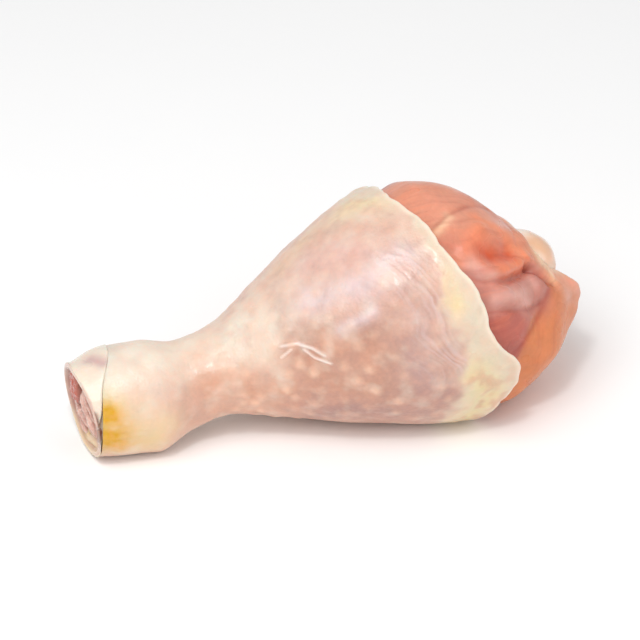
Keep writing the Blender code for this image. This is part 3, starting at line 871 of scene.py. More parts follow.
def sinew_material(name, colour, pale):
    """Wet strands, streaked with a paler colour."""
    material, tree, shader = new_material(
        name, Subsurface_Weight=0.3, Subsurface_Radius=(1.0, 0.45, 0.35), Subsurface_Scale=0.001,
        IOR=1.42, Coat_Weight=0.6, Coat_Roughness=0.08)
    place = object_place(tree)
    mask, factor = mottle(tree, place, 420.0, 0.3)
    streaked = mix_colours(tree, maths(tree, "MULTIPLY", mask, 0.6), (*colour, 1.0), (*pale, 1.0))
    tree.links.new(shade_colour(tree, streaked, factor), shader.inputs["Base Color"])
    moist_finish(tree, shader, place, 2600.0, 0.00003, 0.9, dry=0.5, glossy=0.2)
    return material


# ---- Skin sleeve ----

SKIN_SIDES = 360
SKIN_ROWS = 224
LIP_ROWS = 6              # rows round each cut edge
INNER_STEP = 12           # outer rows for each inner row
EDGE_THINNING = 3.0       # how far in from a cut edge the skin has its full thickness
HIDDEN_V = (1.05, 2.0)    # V of the first and the last hidden row, past the outer wall's 0 to 1
FOLLICLE_NUDGE = 0.3

# Colour of the skin by place: property, route, reach and strength.
SKIN_PATCHES = (
    ("cream", ((-50, 10), (-40, 20), (-28, 25), (-18, 40)), 13.0, 0.95),
    ("cream", ((-50, 200), (-36, 210), (-24, 220)), 11.0, 0.7),
    ("rose", ((-6, 352), (0, 8), (4, 18)), 6.0, 0.45),
    ("flesh", ((-8, 66), (2, 64), (7, 78), (8, 98), (0, 106), (-8, 84)), 9.5, 1.0),
    ("salmon", ((-31, 56), (-23, 84), (-15, 98), (-2, 104), (10, 110)), 7.5, 0.75),
    ("salmon", ((-36, 100), (-24, 118), (-8, 126), (10, 130)), 6.0, 0.6),
    ("salmon", ((-6, 62), (4, 72)), 5.0, 0.4),
    ("salmon", ((-20, 250), (0, 250)), 9.0, 0.6),
    ("mauve", ((-37.2, 70), (-34, 92)), 4.5, 0.45),
    ("mauve", ((14, 60), (16, 80)), 7.5, 0.5),
    ("mauve", ((17, 100), (17.5, 114)), 7.0, 1.0),
    ("mauve", ((-6, 120), (4, 122), (14, 120)), 8.0, 0.95),
    ("belly", ((-46, 60), (-43, 72), (-44, 98)), 5.0, 0.5),
    ("mauve", ((0, 300), (10, 285)), 9.0, 0.4),
    ("mauve", ((4, 44), (12, 46)), 4.0, 0.35),
    ("cream", ((9, 344), (16, 352)), 6.5, 0.5),
    ("butter", ((10, 340), (17, 350)), 6.0, 0.8),
    ("butter", ((-8, 345), (0, 338)), 4.0, 0.35),
    # These three patches are partly a silvery film and partly a painted highlight on the belly.
    ("film_and_painted_highlight", ((-7, 28), (4.7, 36), (14, 29)), 4.0, 0.55),
    ("film_and_painted_highlight", ((-2, 55), (4.7, 51)), 1.8, 0.6),
    ("film_and_painted_highlight", ((15, 62), (13, 88)), 5.5, 0.15),
    ("butter", ((-56.0, 50), (-53.5, 60)), 3.6, 0.75),
    ("butter", ((-50.0, 104), (-46.0, 112)), 5.0, 0.7),
    ("ochre", ((-50, 98), (-46, 106)), 5.0, 0.25),
    ("butter", ((-48, 82), (-43, 92)), 5.0, 0.45),
    ("ochre", ((-55.6, 72), (-54.4, 84), (-54.6, 104)), 4.0, 1.2),
)
# Small folds: route, half width and height.
SKIN_FOLDS = (
    (((-14.6, 52), (-11.5, 54), (-8.5, 61), (-6.2, 68)), 0.30, 0.34),
    (((-14.8, 61), (-12.6, 57)), 0.28, 0.30),
    (((-10.1, 60), (-8.2, 68), (-5.2, 74)), 0.30, 0.34),
    (((-1.5, 56), (1.5, 54), (4.7, 52)), 0.6, 0.25),
    (((11, 26), (13.6, 30)), 0.4, 0.25),
    (((13.6, 24), (15.6, 29)), 0.4, 0.25),
    (((-30, 96), (-18, 104), (-4, 102)), 1.4, -0.25),
    (((-36, 60), (-33, 84), (-33, 110)), 1.6, -0.3),
)
GLINTS = 3        # the first folds, which are stretched thin and glossy, and painted white as a highlight
# Places of other looks of the skin: route and reach.
STRETCH = ((13, 36), (17, 50), (19, 66), (20, 82)), 7.5
SHANK_RINGS = ((-40, 60), (-33, 60), (-26, 60)), 12.0
SCALES = ((-55.0, 66), (-53.7, 80), (-52.5, 102)), 5.0
FRONT_RICH = ((20.5, 44), (22.5, 56)), 2.6
CORNER_RICH = ((26, 92), (30, 108), (27, 140)), 5.0
LOBES = ((27, 100), (31, 108), (29, 130)), 6.0
DOWN = ((-27, 98), (-14, 92), (-2, 90), (6, 100)), 12.0
RING_SPACING = 3.9
FAT_LEAD = 1.8       # how far before its edge the fat band starts to show
FAT_BLEND = 3.8      # how far it takes to show fully
FAT_RAGGED = 2.2     # how uneven its start is
FAT_RISE = 0.25
FAT_LUMPS = 0.32
RESTING_CALM = 6.0   # height over the floor where the skin's relief is full, from none on the floor


def knee_edge(angle):
    """The skin's edge at the knee, with the small raggedness of a cut."""
    turn = np.radians(angle)
    ragged = 0.14 * np.sin(13 * turn + 0.6) + 0.10 * np.sin(29 * turn + 2.0) + 0.07 * np.sin(53 * turn + 4.1)
    return round_curve(KNEE_EDGE, angle) + ragged


def near(points, place):
    """How near each point is to a place, which is a route and its reach: 1 on it and 0 far away."""
    route, reach = place
    return bell(route_distance(points, route), reach)


def long_lines(points, gap, angle, seed):
    """Unevenness drawn out into lines that run beside the knee edge."""
    across = gap / 0.9 + 1.1 * waver(points, 6.0, seed)
    places = np.stack(np.broadcast_arrays(across, angle / 26.0, 0.0), axis=-1)
    return waver(places, 1.0, seed + 1, 3)


def skin_relief(points, x, angle, gap, size):
    """Height of lumps, folds, stretch lines and fat over the plain leg, the share of fat and the lines."""
    fat_start = round_curve(FAT_EDGE, angle) - FAT_LEAD - FAT_RAGGED * waver(points, 4.0, 7)
    fat = ramp(x, fat_start, FAT_BLEND)
    calm = smooth_step(points[..., 2] / RESTING_CALM)
    height = size.lumps / MM * waver(points, 17.0, 1) * calm
    height += fat * (FAT_RISE + FAT_LUMPS * waver(points, 3.6, 2)) * calm
    lines = long_lines(points, gap, angle, 3)
    stretch = near(points, STRETCH) * (1.0 - 0.8 * fat)
    height += size.wrinkles / MM * stretch * lines
    rings = np.sin(x * 2 * math.pi / RING_SPACING + 5.0 * waver(points, 9.0, 4))
    height += 0.05 * near(points, SHANK_RINGS) * rings * calm
    for route, half_width, rise in SKIN_FOLDS:
        height += rise * near(points, (route, half_width))
    height += 0.2 * near(points, SCALES) * waver(points, 1.3, 5, 1)
    return height, fat, stretch * lines


def skin_tint(points, x, gap, fat, lines, size):
    """Colour of each point of the skin."""
    tint = np.broadcast_to(np.array(size.belly), points.shape).copy()
    uneven = 1.0 + 0.5 * waver(points, 6.0, 6)
    for name, route, reach, strength in SKIN_PATCHES:
        tint = blend_in(tint, getattr(size, name), strength * near(points, (route, reach)) * uneven)
    blotches = waver(points, 4.2, 8, 3)
    tint = blend_in(tint, size.cream, 0.4 * blotches)
    tint = blend_in(tint, size.mauve, -0.45 * blotches * ramp(x, -34.0, 14.0))
    # Painted shade and highlight along the stretch lines: darker in their grooves, paler on their ridges.
    tint = blend_in(tint, size.mauve, -0.45 * lines)
    tint = blend_in(tint, size.film_and_painted_highlight, 0.45 * lines)
    tint = blend_in(tint, size.fat, 0.9 * fat)
    rich = near(points, FRONT_RICH) + 0.9 * near(points, CORNER_RICH) * uneven
    tint = blend_in(tint, size.rich_fat, 0.9 * fat * rich)
    salmon = (0.12 + 0.5 * near(points, LOBES)) * ramp(waver(points, 3.4, 9), -0.2, 0.7)
    tint = blend_in(tint, size.salmon, salmon * fat)
    # Painted highlight: the glint folds are painted warm white.
    for route, half_width, _ in SKIN_FOLDS[:GLINTS]:
        tint = blend_in(tint, size.painted_glint, 0.9 * near(points, (route, half_width)))
    # The cut edge: its own pale colour and a painted highlight along it.
    return blend_in(tint, size.edge, 0.95 * bell(gap, 0.8))


def skin_down(points, fat, edge_gap):
    """How strongly the follicles show at each point of the skin."""
    downy = smooth_step(edge_gap / 6.0) * (1.0 - 0.9 * fat) * ramp(points[..., 2], 1.0, 5.0)
    downy *= ramp(points[..., 0], -42.0, 22.0) * (0.3 + 0.7 * near(points, DOWN))
    return downy * np.clip(0.85 + 1.1 * waver(points, 7.0, 10), 0.0, 1.2)


def skin_wetness(points, fat):
    """How wet each point of the skin is: more on the fat, and most on the stretched folds."""
    wet = 0.4 + 0.25 * fat
    for route, half_width, _ in SKIN_FOLDS[:GLINTS]:
        wet += 1.5 * near(points, (route, 2.5 * half_width))
    return wet


def lip_rows(outer, inner, normals, row, towards):
    """Half round rows from the outer to the inner wall at one edge. towards is the step inwards."""
    middle = (outer[row] + inner[row]) / 2
    half = np.linalg.norm(outer[row] - inner[row], axis=-1, keepdims=True) / 2
    ahead = outer[row] - outer[row + towards]
    ahead -= normals[row] * np.sum(ahead * normals[row], axis=-1, keepdims=True)
    ahead /= np.linalg.norm(ahead, axis=-1, keepdims=True)
    turns = np.linspace(0.0, math.pi, LIP_ROWS + 2)[1:-1]
    return np.array([middle + half * (math.cos(t) * normals[row] + math.sin(t) * ahead) for t in turns])


def make_skin_sleeve():
    """Closed sleeve: outer wall, rounded knee lip, inner wall and rounded ankle lip."""
    size = bpy.context.scene.drumstick_skin
    angle = np.arange(SKIN_SIDES) * 360.0 / SKIN_SIDES
    start, end = round_curve(ANKLE_EDGE, angle), knee_edge(angle)
    along = np.linspace(0.0, 1.0, SKIN_ROWS)[:, None]
    x = start + along * (end - start)
    gap = end - x
    lift = EDGE_LIFT * smooth_step(1.0 - gap / EDGE_LIFT_WIDTH)
    flap_x, flap_angle, half_x, half_angle, flap_lift = FLAP
    reach = ((x - flap_x) / half_x) ** 2 + (turn_between(angle, flap_angle) / half_angle) ** 2
    outer = leg_surface(x, angle, -lift - flap_lift * np.exp(-reach) - under_swell(x, angle))
    height, fat, lines = skin_relief(outer, x, angle, gap, size)
    tint = skin_tint(outer, x, gap, fat, lines, size)
    outer = outer + grid_normals(outer) * height[..., None]
    outer[..., 2] = np.maximum(outer[..., 2], 0.0)
    normals = grid_normals(outer)
    edge_gap = np.minimum(gap, x - start)
    cut = np.where(gap < x - start, size.knee_wall, size.ankle_wall)
    wall = (cut + (size.wall - cut) * smooth_step(edge_gap / EDGE_THINNING)) / MM
    inner = outer - normals * wall[..., None]
    inner_rows = np.arange(SKIN_ROWS - 1, -1, -INNER_STEP)
    inner_rows = np.append(inner_rows, 0) if inner_rows[-1] else inner_rows
    knee_lip = lip_rows(outer, inner, normals, -1, -1)
    ankle_lip = lip_rows(outer, inner, normals, 0, 1)[::-1]
    rows = np.concatenate((outer, knee_lip, inner[inner_rows], ankle_lip))
    hidden = np.concatenate((np.full(LIP_ROWS, -1), inner_rows, np.zeros(LIP_ROWS, int)))
    downy, wet = skin_down(outer, fat, edge_gap), skin_wetness(outer, fat)
    layers = {
        "tint": colour_of(np.concatenate((tint, tint[hidden]))),
        "downy": np.concatenate((downy, np.zeros((len(hidden), SKIN_SIDES)))),
        "wet": np.concatenate((wet, wet[hidden])),
    }
    uv_rows = np.concatenate((along[:, 0], np.linspace(*HIDDEN_V, len(hidden))))
    skin = grid_object("skin_sleeve", rows, layers, uv_rows, ring=True)
    run_tree(skin, follicle_tree(), {
        "Round": size.follicles_round, "Rows": size.follicle_rows, "Nudge": FOLLICLE_NUDGE,
        "Width": size.follicle_width, "Height": size.follicle_height, "Seed": 3,
        "Material": skin_material(size),
    })
    dress(skin, "skin")
    return skin


# ---- Muscle ----

MUSCLE_SIDES = 400
HIDDEN_ROWS = 14
KNEE_ROWS = 200
KNEE_FROM = 13.0
TIP_SPACING = 0.93

# Bare muscles: property of its colour, and the route its fibres run along.
MUSCLES = (
    ("thigh", ((15, 345), (28, 350), (40, 354), (50, 2))),
    ("thigh", ((22, 24), (32, 25), (42, 21), (50, 12))),
    ("silver", ((27, 55), (35, 55), (42, 54), (47, 48))),
    ("dark", ((28, 74), (33, 74), (37.5, 70))),
    ("dark", ((31, 92), (35, 86))),
    ("orange", ((57, 50), (53, 62), (48.5, 76), (45, 92), (43, 112), (43, 150))),
    ("orange", ((36, 180), (50, 178))),
    ("thigh", ((28, 250), (42, 248), (52, 240))),
    ("silver", ((18, 305), (32, 305), (42, 303))),
)
MUSCLE_PATCHES = (
    ("dimple", ((34.0, 33), (38, 32.5), (41.5, 30)), 4.2, 0.95),
    # The bright orange patches on the folds are partly painted highlight on their ridges.
    ("rim", ((34.5, 22), (38.5, 21)), 2.2, 0.5),
    ("dark", ((25.5, 27), (29.5, 31)), 3.2, 0.35),
    ("rim", ((28, 34), (31, 26), (35, 20)), 2.2, 0.5),
    ("rim", ((33, 42), (39, 40), (44, 34)), 1.8, 0.65),
    ("rim", ((22, 350), (34, 352), (46, 358)), 2.4, 0.35),
    ("rim", ((35.5, 13), (39.5, 15), (43.1, 20), (45.4, 28)), 2.3, 0.85),
    # Painted shade along the top outline.
    ("dark_fibre_and_painted_shade", ((37.8, 352), (41.1, 356), (43.9, 359), (45.4, 5)), 2.6, 0.35),
    # Pale patches here and below: partly a pale film, partly a painted highlight.
    ("veil_and_painted_highlight", ((29.4, 38), (31, 42.5), (34, 45)), 2.0, 0.6),
    ("veil_and_painted_highlight", ((42, 52), (45.5, 47)), 2.0, 0.5),
    ("veil_and_painted_highlight", ((33.6, 56), (37, 53.5), (43, 57)), 1.8, 0.6),
    ("fleck", ((24.2, 18), (26.5, 15), (28.5, 12)), 1.3, 0.6),
    ("silver", ((44, 56), (48, 60)), 3.4, 0.5),
    ("fleck", ((50.5, 358), (52.8, 14), (54.8, 32)), 3.6, 0.85),
    # Bright orange on this fold, partly painted highlight on its ridge.
    ("rim", ((50.5, 40), (54, 44), (57, 50)), 1.6, 0.6),
    # Painted highlight on the end muscle's top, over a pale film.
    ("veil_and_painted_highlight", ((55.0, 57), (57.8, 60)), 3.2, 0.5),
    ("orange", ((48.4, 14), (49.4, 26)), 2.2, 0.6),
    ("fleck", ((51.0, 22), (50.8, 33), (52.4, 41)), 1.9, 0.75),
)
CREASE_WIDTH = 2.0     # grooves narrower than this get painted shade
MUSCLE_BLEND = 0.7     # how softly one muscle's colour runs into the next
GRAIN_APART = 9.0      # distance between the grains of two muscles
FIBRE_STRETCH = 9.0    # how much longer the fibre ridges are than wide
EDGE_SHADE = 1.4       # how far past the skin's edge the muscle is darker, with the skin edge's painted shadow
SEEN_FROM = 4.0        # how far under the skin's edge the fibres start
SEEN_BLEND = 3.0


def muscle_relief(x, angle):
    """Height of the muscles' swellings, less the grooves between them."""
    points = leg_surface(x, angle)
    height = np.zeros(points.shape[:-1])
    for route, half_width, rise in MUSCLE_LINES:
        height += rise * near(points, (route, half_width))
    return height


def muscle_tint(points, outward, size):
    """Colour of each point of the muscle, and its place along and across the fibres."""
    places = [beside_route(points, outward, route) for _, route in MUSCLES]
    distances = np.array([place[2] for place in places])
    distances += waver(points, 5.0, 11)
    weights = np.exp(-(distances - distances.min(axis=0)) / MUSCLE_BLEND)
    weights /= weights.sum(axis=0)
    colours = np.array([getattr(size, name)[:] for name, _ in MUSCLES])
    tint = np.tensordot(weights, colours, axes=(0, 0))
    uneven = 1.0 + 0.35 * waver(points, 4.0, 12)
    for name, route, reach, strength in MUSCLE_PATCHES:
        tint = blend_in(tint, getattr(size, name), strength * near(points, (route, reach)) * uneven)
    # Painted shade in the narrow grooves.
    for route, half_width, rise in MUSCLE_LINES:
        if rise < 0.0 and half_width < CREASE_WIDTH:
            tint = blend_in(tint, size.dark_fibre_and_painted_shade, 0.5 * near(points, (route, 0.5 * half_width)))
    owner = distances.argmin(axis=0)[None]
    along, side = (np.take_along_axis(np.array([place[k] for place in places]), owner, axis=0)[0]
                   for k in (0, 1))
    side = side + 2.0 * waver(points, 9.0, 14)
    return tint, np.stack((along, side, GRAIN_APART * owner[0]), axis=-1) * MM


def make_muscle():
    """Muscles from the ankle block to the knee cut, with room for the bone right through."""
    size = bpy.context.scene.drumstick_muscle
    angle = np.arange(MUSCLE_SIDES) * 360.0 / MUSCLE_SIDES
    hidden_x = np.linspace(MEAT_START, KNEE_FROM, HIDDEN_ROWS, endpoint=False)
    sweep = np.linspace(0.0, math.pi / 2, KNEE_ROWS, endpoint=False)
    knee_x = KNEE_FROM + (DOME_END - KNEE_FROM) * np.sin(sweep) ** TIP_SPACING
    x = np.concatenate((hidden_x, knee_x))[:, None]
    past_edge = x - knee_edge(angle)
    covered = SKIN_WALL + CLEARANCE
    bare = ramp(past_edge, RISE_START, RISE_WIDTH)
    points = leg_surface(x, angle, covered + bare * (BARE_INSET - covered - muscle_relief(x, angle)))
    lumps = bare * size.lumps / MM * waver(points, 8.0, 13)
    points = points + grid_normals(points) * lumps[..., None]
    points[..., 2] = np.maximum(points[..., 2], BARE_INSET)
    plain = leg_surface(x, angle)
    tint, grain = muscle_tint(plain, grid_normals(plain), size)
    # Painted shadow of the skin's edge on the muscle.
    tint = blend_in(tint, size.dark_fibre_and_painted_shade, 0.55 * smooth_step(1.0 - past_edge / EDGE_SHADE))
    seen = ramp(past_edge, -SEEN_FROM, SEEN_BLEND)
    layers = {"tint": colour_of(tint), "bare": seen, "grain": grain, "wet": 0.5 + 0.5 * seen}
    muscle = grid_object("muscle", points, layers, start=True, end=True)
    run_tree(muscle, fibre_tree(), {
        "Spacing": size.fibre_width, "Depth": size.fibre_depth, "Stretch": FIBRE_STRETCH, "Seed": 2,
        "Material": muscle_material(size),
    })
    take_out(muscle, grid_object("bone_room", bone_grid(ROOM, fine=False)[0], start=True, end=True))
    dress(muscle, "meat")
    return muscle


# ---- Bone ----

# Rings of the bone's parts, each once for the bone and once for its room in the muscle. Ring places
# are shares of the way: from the middle of the face or the back to its edge, along the shaft, and
# from the middle of the head to its ends.
BONE_SIDES = 200
ROOM_SIDES = 48
BLOCK_RINGS = 36
ROOM_BLOCK_RINGS = 7
FACE_SHARES = np.linspace(0.03, 0.98, 44)
ROOM_FACE_SHARES = (0.35, 0.7, 0.9)
BACK_SHARES = (0.8, 0.55)
SHAFT_SHARES = (0.0, 0.15, 0.3, 0.45, 0.6, 0.72, 0.84)
ROOM_SHAFT_SHARES = (0.0, 0.15, 0.4, 0.66, 0.84)
HEAD_SHARES = np.linspace(-0.82, 0.985, 50)
ROOM_HEAD_SHARES = (-0.82, -0.55, -0.2, 0.15, 0.45, 0.7, 0.87, 0.97)
RIM_ROUND = 0.3      # how far the rim of the cut face is rounded back
RIM_BLEND = 0.03     # share of that way over which the rim's stain starts
FACE_SLOPE = 0.07    # share of that way for the slope inside the rim, and for the rim's rounding
KNUCKLE_STAIN = ((55, 14), (56.5, 30)), 4.0
TENDON_SIDES = 96
TENDON_CAP_ROWS = 26
TENDON_LONG_ROWS = 14
TENDON_RIM = 0.78    # share of the stump's end where its dark rim of painted shade starts
ROOM_PAST_FACE = 5.0
FACE_CENTRE_Y, FACE_CENTRE_Z = STATIONS[0][1:3]


def ring_at(centre, radius, turn):
    """Ring across X, round a centre, with one radius for each turn."""
    radius = np.broadcast_to(radius, turn.shape)
    return np.stack((np.full_like(turn, centre[0]), centre[1] - radius * np.sin(turn),
                     centre[2] + radius * np.cos(turn)), axis=-1)


def face_x(y, z):
    """X of the plain ankle face, which leans out at the top and falls back at the front."""
    front = np.logaddexp(0.0, FACE_CENTRE_Y - y)
    return FACE_X - FACE_TILT * (z - FACE_CENTRE_Z) + FACE_LEAN * front


def block_grid(angle, grow, fine):
    """Rings of the ankle block, from its cut face to its hidden back."""
    covered = SKIN_WALL + CLEARANCE
    edge = round_curve(ANKLE_EDGE, angle)
    plain = leg_surface(FACE_X, angle)
    shift = face_x(plain[:, 1], plain[:, 2]) - FACE_X
    gap = bell(turn_between(angle, BLOCK_GAP_ANGLE), BLOCK_GAP_SPREAD)
    rise_start = BLOCK_RISE_START + BLOCK_GAP * gap
    rings = []
    for part in np.linspace(0.0, 1.0, BLOCK_RINGS if fine else ROOM_BLOCK_RINGS):
        x = FACE_X + part * (BLOCK_BACK - FACE_X) + (1.0 - part) * shift
        bare = ramp(edge - x, rise_start, BLOCK_RISE_WIDTH)
        inset = covered + bare * (BLOCK_INSET - covered) - grow - under_swell(x, angle)
        rings.append(leg_surface(x, angle, inset))
    return rings


def bone_grid(grow=0.0, fine=True):
    """Rows of points from the ankle face over the block, the shaft and the knee head."""
    sides = BONE_SIDES if fine else ROOM_SIDES
    angle = np.arange(sides) * 360.0 / sides
    turn = np.radians(angle)
    block = block_grid(angle, grow, fine)
    block[0][:, 0] -= grow
    block[-1][:, 0] += grow
    middle, back_middle = block[0].mean(axis=0), block[-1].mean(axis=0)
    shares = FACE_SHARES if fine else ROOM_FACE_SHARES
    face = [middle + (block[0] - middle) * s for s in shares]
    back = [back_middle + (block[-1] - back_middle) * s for s in BACK_SHARES]
    start, head = np.array(SHAFT_FROM), np.array(HEAD_CENTRE)
    shaft = [ring_at(start + (head - start) * s, SHAFT_RADIUS + grow, turn)
             for s in (SHAFT_SHARES if fine else ROOM_SHAFT_SHARES)]
    rings = []
    knuckle = turn - math.radians(HEAD_TURN)
    for s in HEAD_SHARES if fine else ROOM_HEAD_SHARES:
        swell = math.sqrt(1.0 - s ** 2) if s > 0.0 else 1.0 - HEAD_TAPER * abs(s) ** 1.5
        long_half, short_half = HEAD_LONG * swell + grow, HEAD_SHORT * swell + grow
        radius = 1.0 / np.hypot(np.cos(knuckle) / long_half, np.sin(knuckle) / short_half)
        radius *= 1.0 - HEAD_WAIST * max(s + 0.2, 0.0) * np.sin(knuckle) ** 4
        x = HEAD_CENTRE[0] + (HEAD_HALF_LENGTH + grow) * s
        rings.append(ring_at((x, *HEAD_CENTRE[1:]), radius, turn))
    return np.array(face + block + back + shaft + rings), shares, len(block)


def face_distance(rows, route):
    """Distance across the ankle face from each point to a route of (y, z) places."""
    return path_distance(rows[..., 1:], np.array(route, float))


def rim_tint(tint, points, size):
    """Colour the rim of the ankle face: pink at its front, yellow at its foot, and brown at its back, which
    is painted shade.
    """
    back = ramp(points[..., 1] - FACE_CENTRE_Y, -1.0, 6.0)
    foot = ramp(FACE_CENTRE_Z - points[..., 2], 4.0, 5.0)
    front = ramp(FACE_CENTRE_Y - points[..., 1], 3.0, 3.0)
    blots = 1.0 + 0.5 * waver(points, 2.5, 28)
    tint = blend_in(tint, size.strand, 0.5 * front * blots)
    tint = blend_in(tint, size.sunk_face_and_painted_shade, 0.5 * back * (1.0 - foot) * blots)
    return blend_in(tint, size.foot_fat, 0.6 * foot * blots)


def shape_face(face, shares, tint, size):
    """Sink the ankle face inside its rim and lay its strands and grooves in it."""
    tint = rim_tint(tint, face, size)
    inside = smooth_step((RIM_SHARE - shares) / FACE_SLOPE)[:, None]
    rim = ramp(shares, RIM_SHARE, RIM_BLEND)[:, None]
    uneven = waver(face, 1.6, 21)
    depth = inside * (RECESS + 0.25 * waver(face, 4.0, 22) + 0.12 * uneven)
    tint = blend_in(tint, size.strand, 0.3 * rim * (1.0 + uneven))
    # The sunk face: its own colour, made darker as painted shade in the recess.
    tint = blend_in(tint, size.sunk_face_and_painted_shade, 0.9 * inside * (1.0 + 0.2 * uneven))
    for name, route, half_width, rise in FACE_FORMS:
        touch = bell(face_distance(face, route), half_width) * inside
        depth = depth - rise * touch
        tint = blend_in(tint, getattr(size, name), 0.95 * touch)
    face = face.copy()
    face[..., 0] += depth + RIM_ROUND * ramp(shares, 1.0 - FACE_SLOPE, FACE_SLOPE)[:, None]
    return face, tint


def make_shank_bone():
    """Ankle block with its cut face, the hidden shaft and the knee head."""
    size = bpy.context.scene.drumstick_bone
    rows, shares, block_rows = bone_grid()
    face, rim = slice(0, len(shares)), slice(len(shares), len(shares) + 2)
    block = slice(face.stop, face.stop + block_rows)
    tint = np.broadcast_to(np.array(size.gristle), rows.shape).copy()
    outward = grid_normals(rows)
    rows[face], tint[face] = shape_face(rows[face], shares, tint[face], size)
    rows[face.stop, :, 0] += RIM_ROUND
    tint[rim] = rim_tint(tint[rim], rows[rim], size)
    collar = rows[block].copy()
    rise = 0.12 * waver(collar, 3.0, 23)
    for name, route, half_width, height in COLLAR_FORMS:
        touch = near(collar, (route, half_width))
        rise += height * touch
        tint[block] = blend_in(tint[block], getattr(size, name), 0.7 * touch)
    rise[0] = 0.0
    rows[block] = collar + outward[block] * rise[..., None]
    past_block = slice(block.stop + len(BACK_SHARES), None)
    route, half_width, height = KNUCKLE
    head = rows[past_block]
    rise = height * near(head, (route, half_width)) + 0.2 * waver(head, 5.0, 24)
    head = head + outward[past_block] * rise[..., None]
    capsule = 0.25 + 0.6 * waver(head, 6.0, 25) + near(head, KNUCKLE_STAIN)
    cartilage = np.broadcast_to(np.array(size.cartilage), head.shape)
    rows[past_block], tint[past_block] = head, blend_in(cartilage, size.capsule, capsule)
    layers = {"tint": colour_of(tint), "wet": np.full(rows.shape[:-1], 0.8)}
    bone = grid_object("shank_bone", rows, layers, start=True, end=True)
    bone.data.materials.append(gristle_material("bone and gristle", size, 0.2))
    room, _ = tendon_rows(TENDON_ROOM, ROOM_PAST_FACE)
    take_out(bone, grid_object("tendon_room", room, start=True, end=True))
    dress(bone, "bone")
    return bone


def tendon_rows(grow=0.0, past_face=0.0):
    """Rows of points over the oval stump, and each row's share of the full oval."""
    centre_y, centre_z = TENDON_CENTRE
    half_y, half_z = TENDON_HALF
    front = FACE_X - TENDON_PROUD - FACE_TILT * (centre_z - FACE_CENTRE_Z) - past_face
    back = TENDON_BACK + grow
    turn = np.linspace(0.0, 2 * math.pi, TENDON_SIDES, endpoint=False)
    caps = np.sin(np.linspace(0.03, 1.0, TENDON_CAP_ROWS) * math.pi / 2)
    dome = 0.0 if past_face else TENDON_DOME
    places = [(front + dome * (1.0 - math.sqrt(1.0 - s * s)), s) for s in caps]
    places += [(x, 1.0) for x in np.linspace(front + dome, back, TENDON_LONG_ROWS)[1:-1]]
    places += [(back, s) for s in caps[::-3]]
    rows = [np.stack((np.full_like(turn, x), centre_y - (half_y + grow) * s * np.sin(turn),
                      centre_z + (half_z + grow) * s * np.cos(turn)), axis=-1) for x, s in places]
    return np.array(rows), np.array([s for _, s in places])


def make_tendon_stump():
    """Red stump with torn fibres in its domed end and a darker rim of painted shade."""
    size = bpy.context.scene.drumstick_bone
    rows, shares = tendon_rows()
    torn = waver(rows * (0.4, 1.0, 0.7), 0.9, 26, 3)
    on_end = (rows[..., 0] < rows[:, :, 0].min() + TENDON_DOME + 0.2) * 1.0
    rows[..., 0] += on_end * (0.25 * torn + 0.35 * (1.0 + waver(rows, 2.5, 27)))
    tint = np.broadcast_to(np.array(size.tendon), rows.shape).copy()
    tint = blend_in(tint, size.strand, on_end * (0.05 + 0.4 * torn))
    rim = ramp(shares, TENDON_RIM, 1.0 - TENDON_RIM)[:, None] * np.ones_like(torn)
    # Painted shade round the stump's side.
    tint = blend_in(tint, size.painted_groove_shade, 0.7 * rim)
    layers = {"tint": colour_of(tint), "wet": np.full(torn.shape, 0.9)}
    stump = grid_object("tendon_stump", rows, layers, start=True, end=True)
    stump.data.materials.append(gristle_material("raw tendon", size, 0.15))
    dress(stump, "tendon")
    return stump


# ---- Sinews ----

# Sinews across the ankle face: (y, z) places, half width and height over the sunk face.
FACE_SINEWS = (
    (((7.6, 13.0), (5.2, 11.6), (2.6, 9.6), (-0.4, 6.6)), 0.85, 0.45),
    (((2.4, 17.6), (-0.6, 13.8), (-2.9, 10.4), (-4.6, 6.8)), 0.85, 0.65),
    (((1.0, 19.2), (-2.2, 15.2), (-5.4, 10.6)), 0.50, 0.5),
    (((4.2, 13.4), (1.4, 10.8), (-1.4, 7.8), (-2.6, 5.8)), 0.45, 0.4),
    (((8.6, 10.6), (5.6, 8.2), (3.0, 6.0), (0.6, 3.8)), 0.65, 0.45),
    (((0.0, 20.4), (-3.6, 17.2), (-6.4, 13.4)), 0.45, 0.4),
)
SINEW_SINK = 1.3     # how deep the ends of a sinew dip


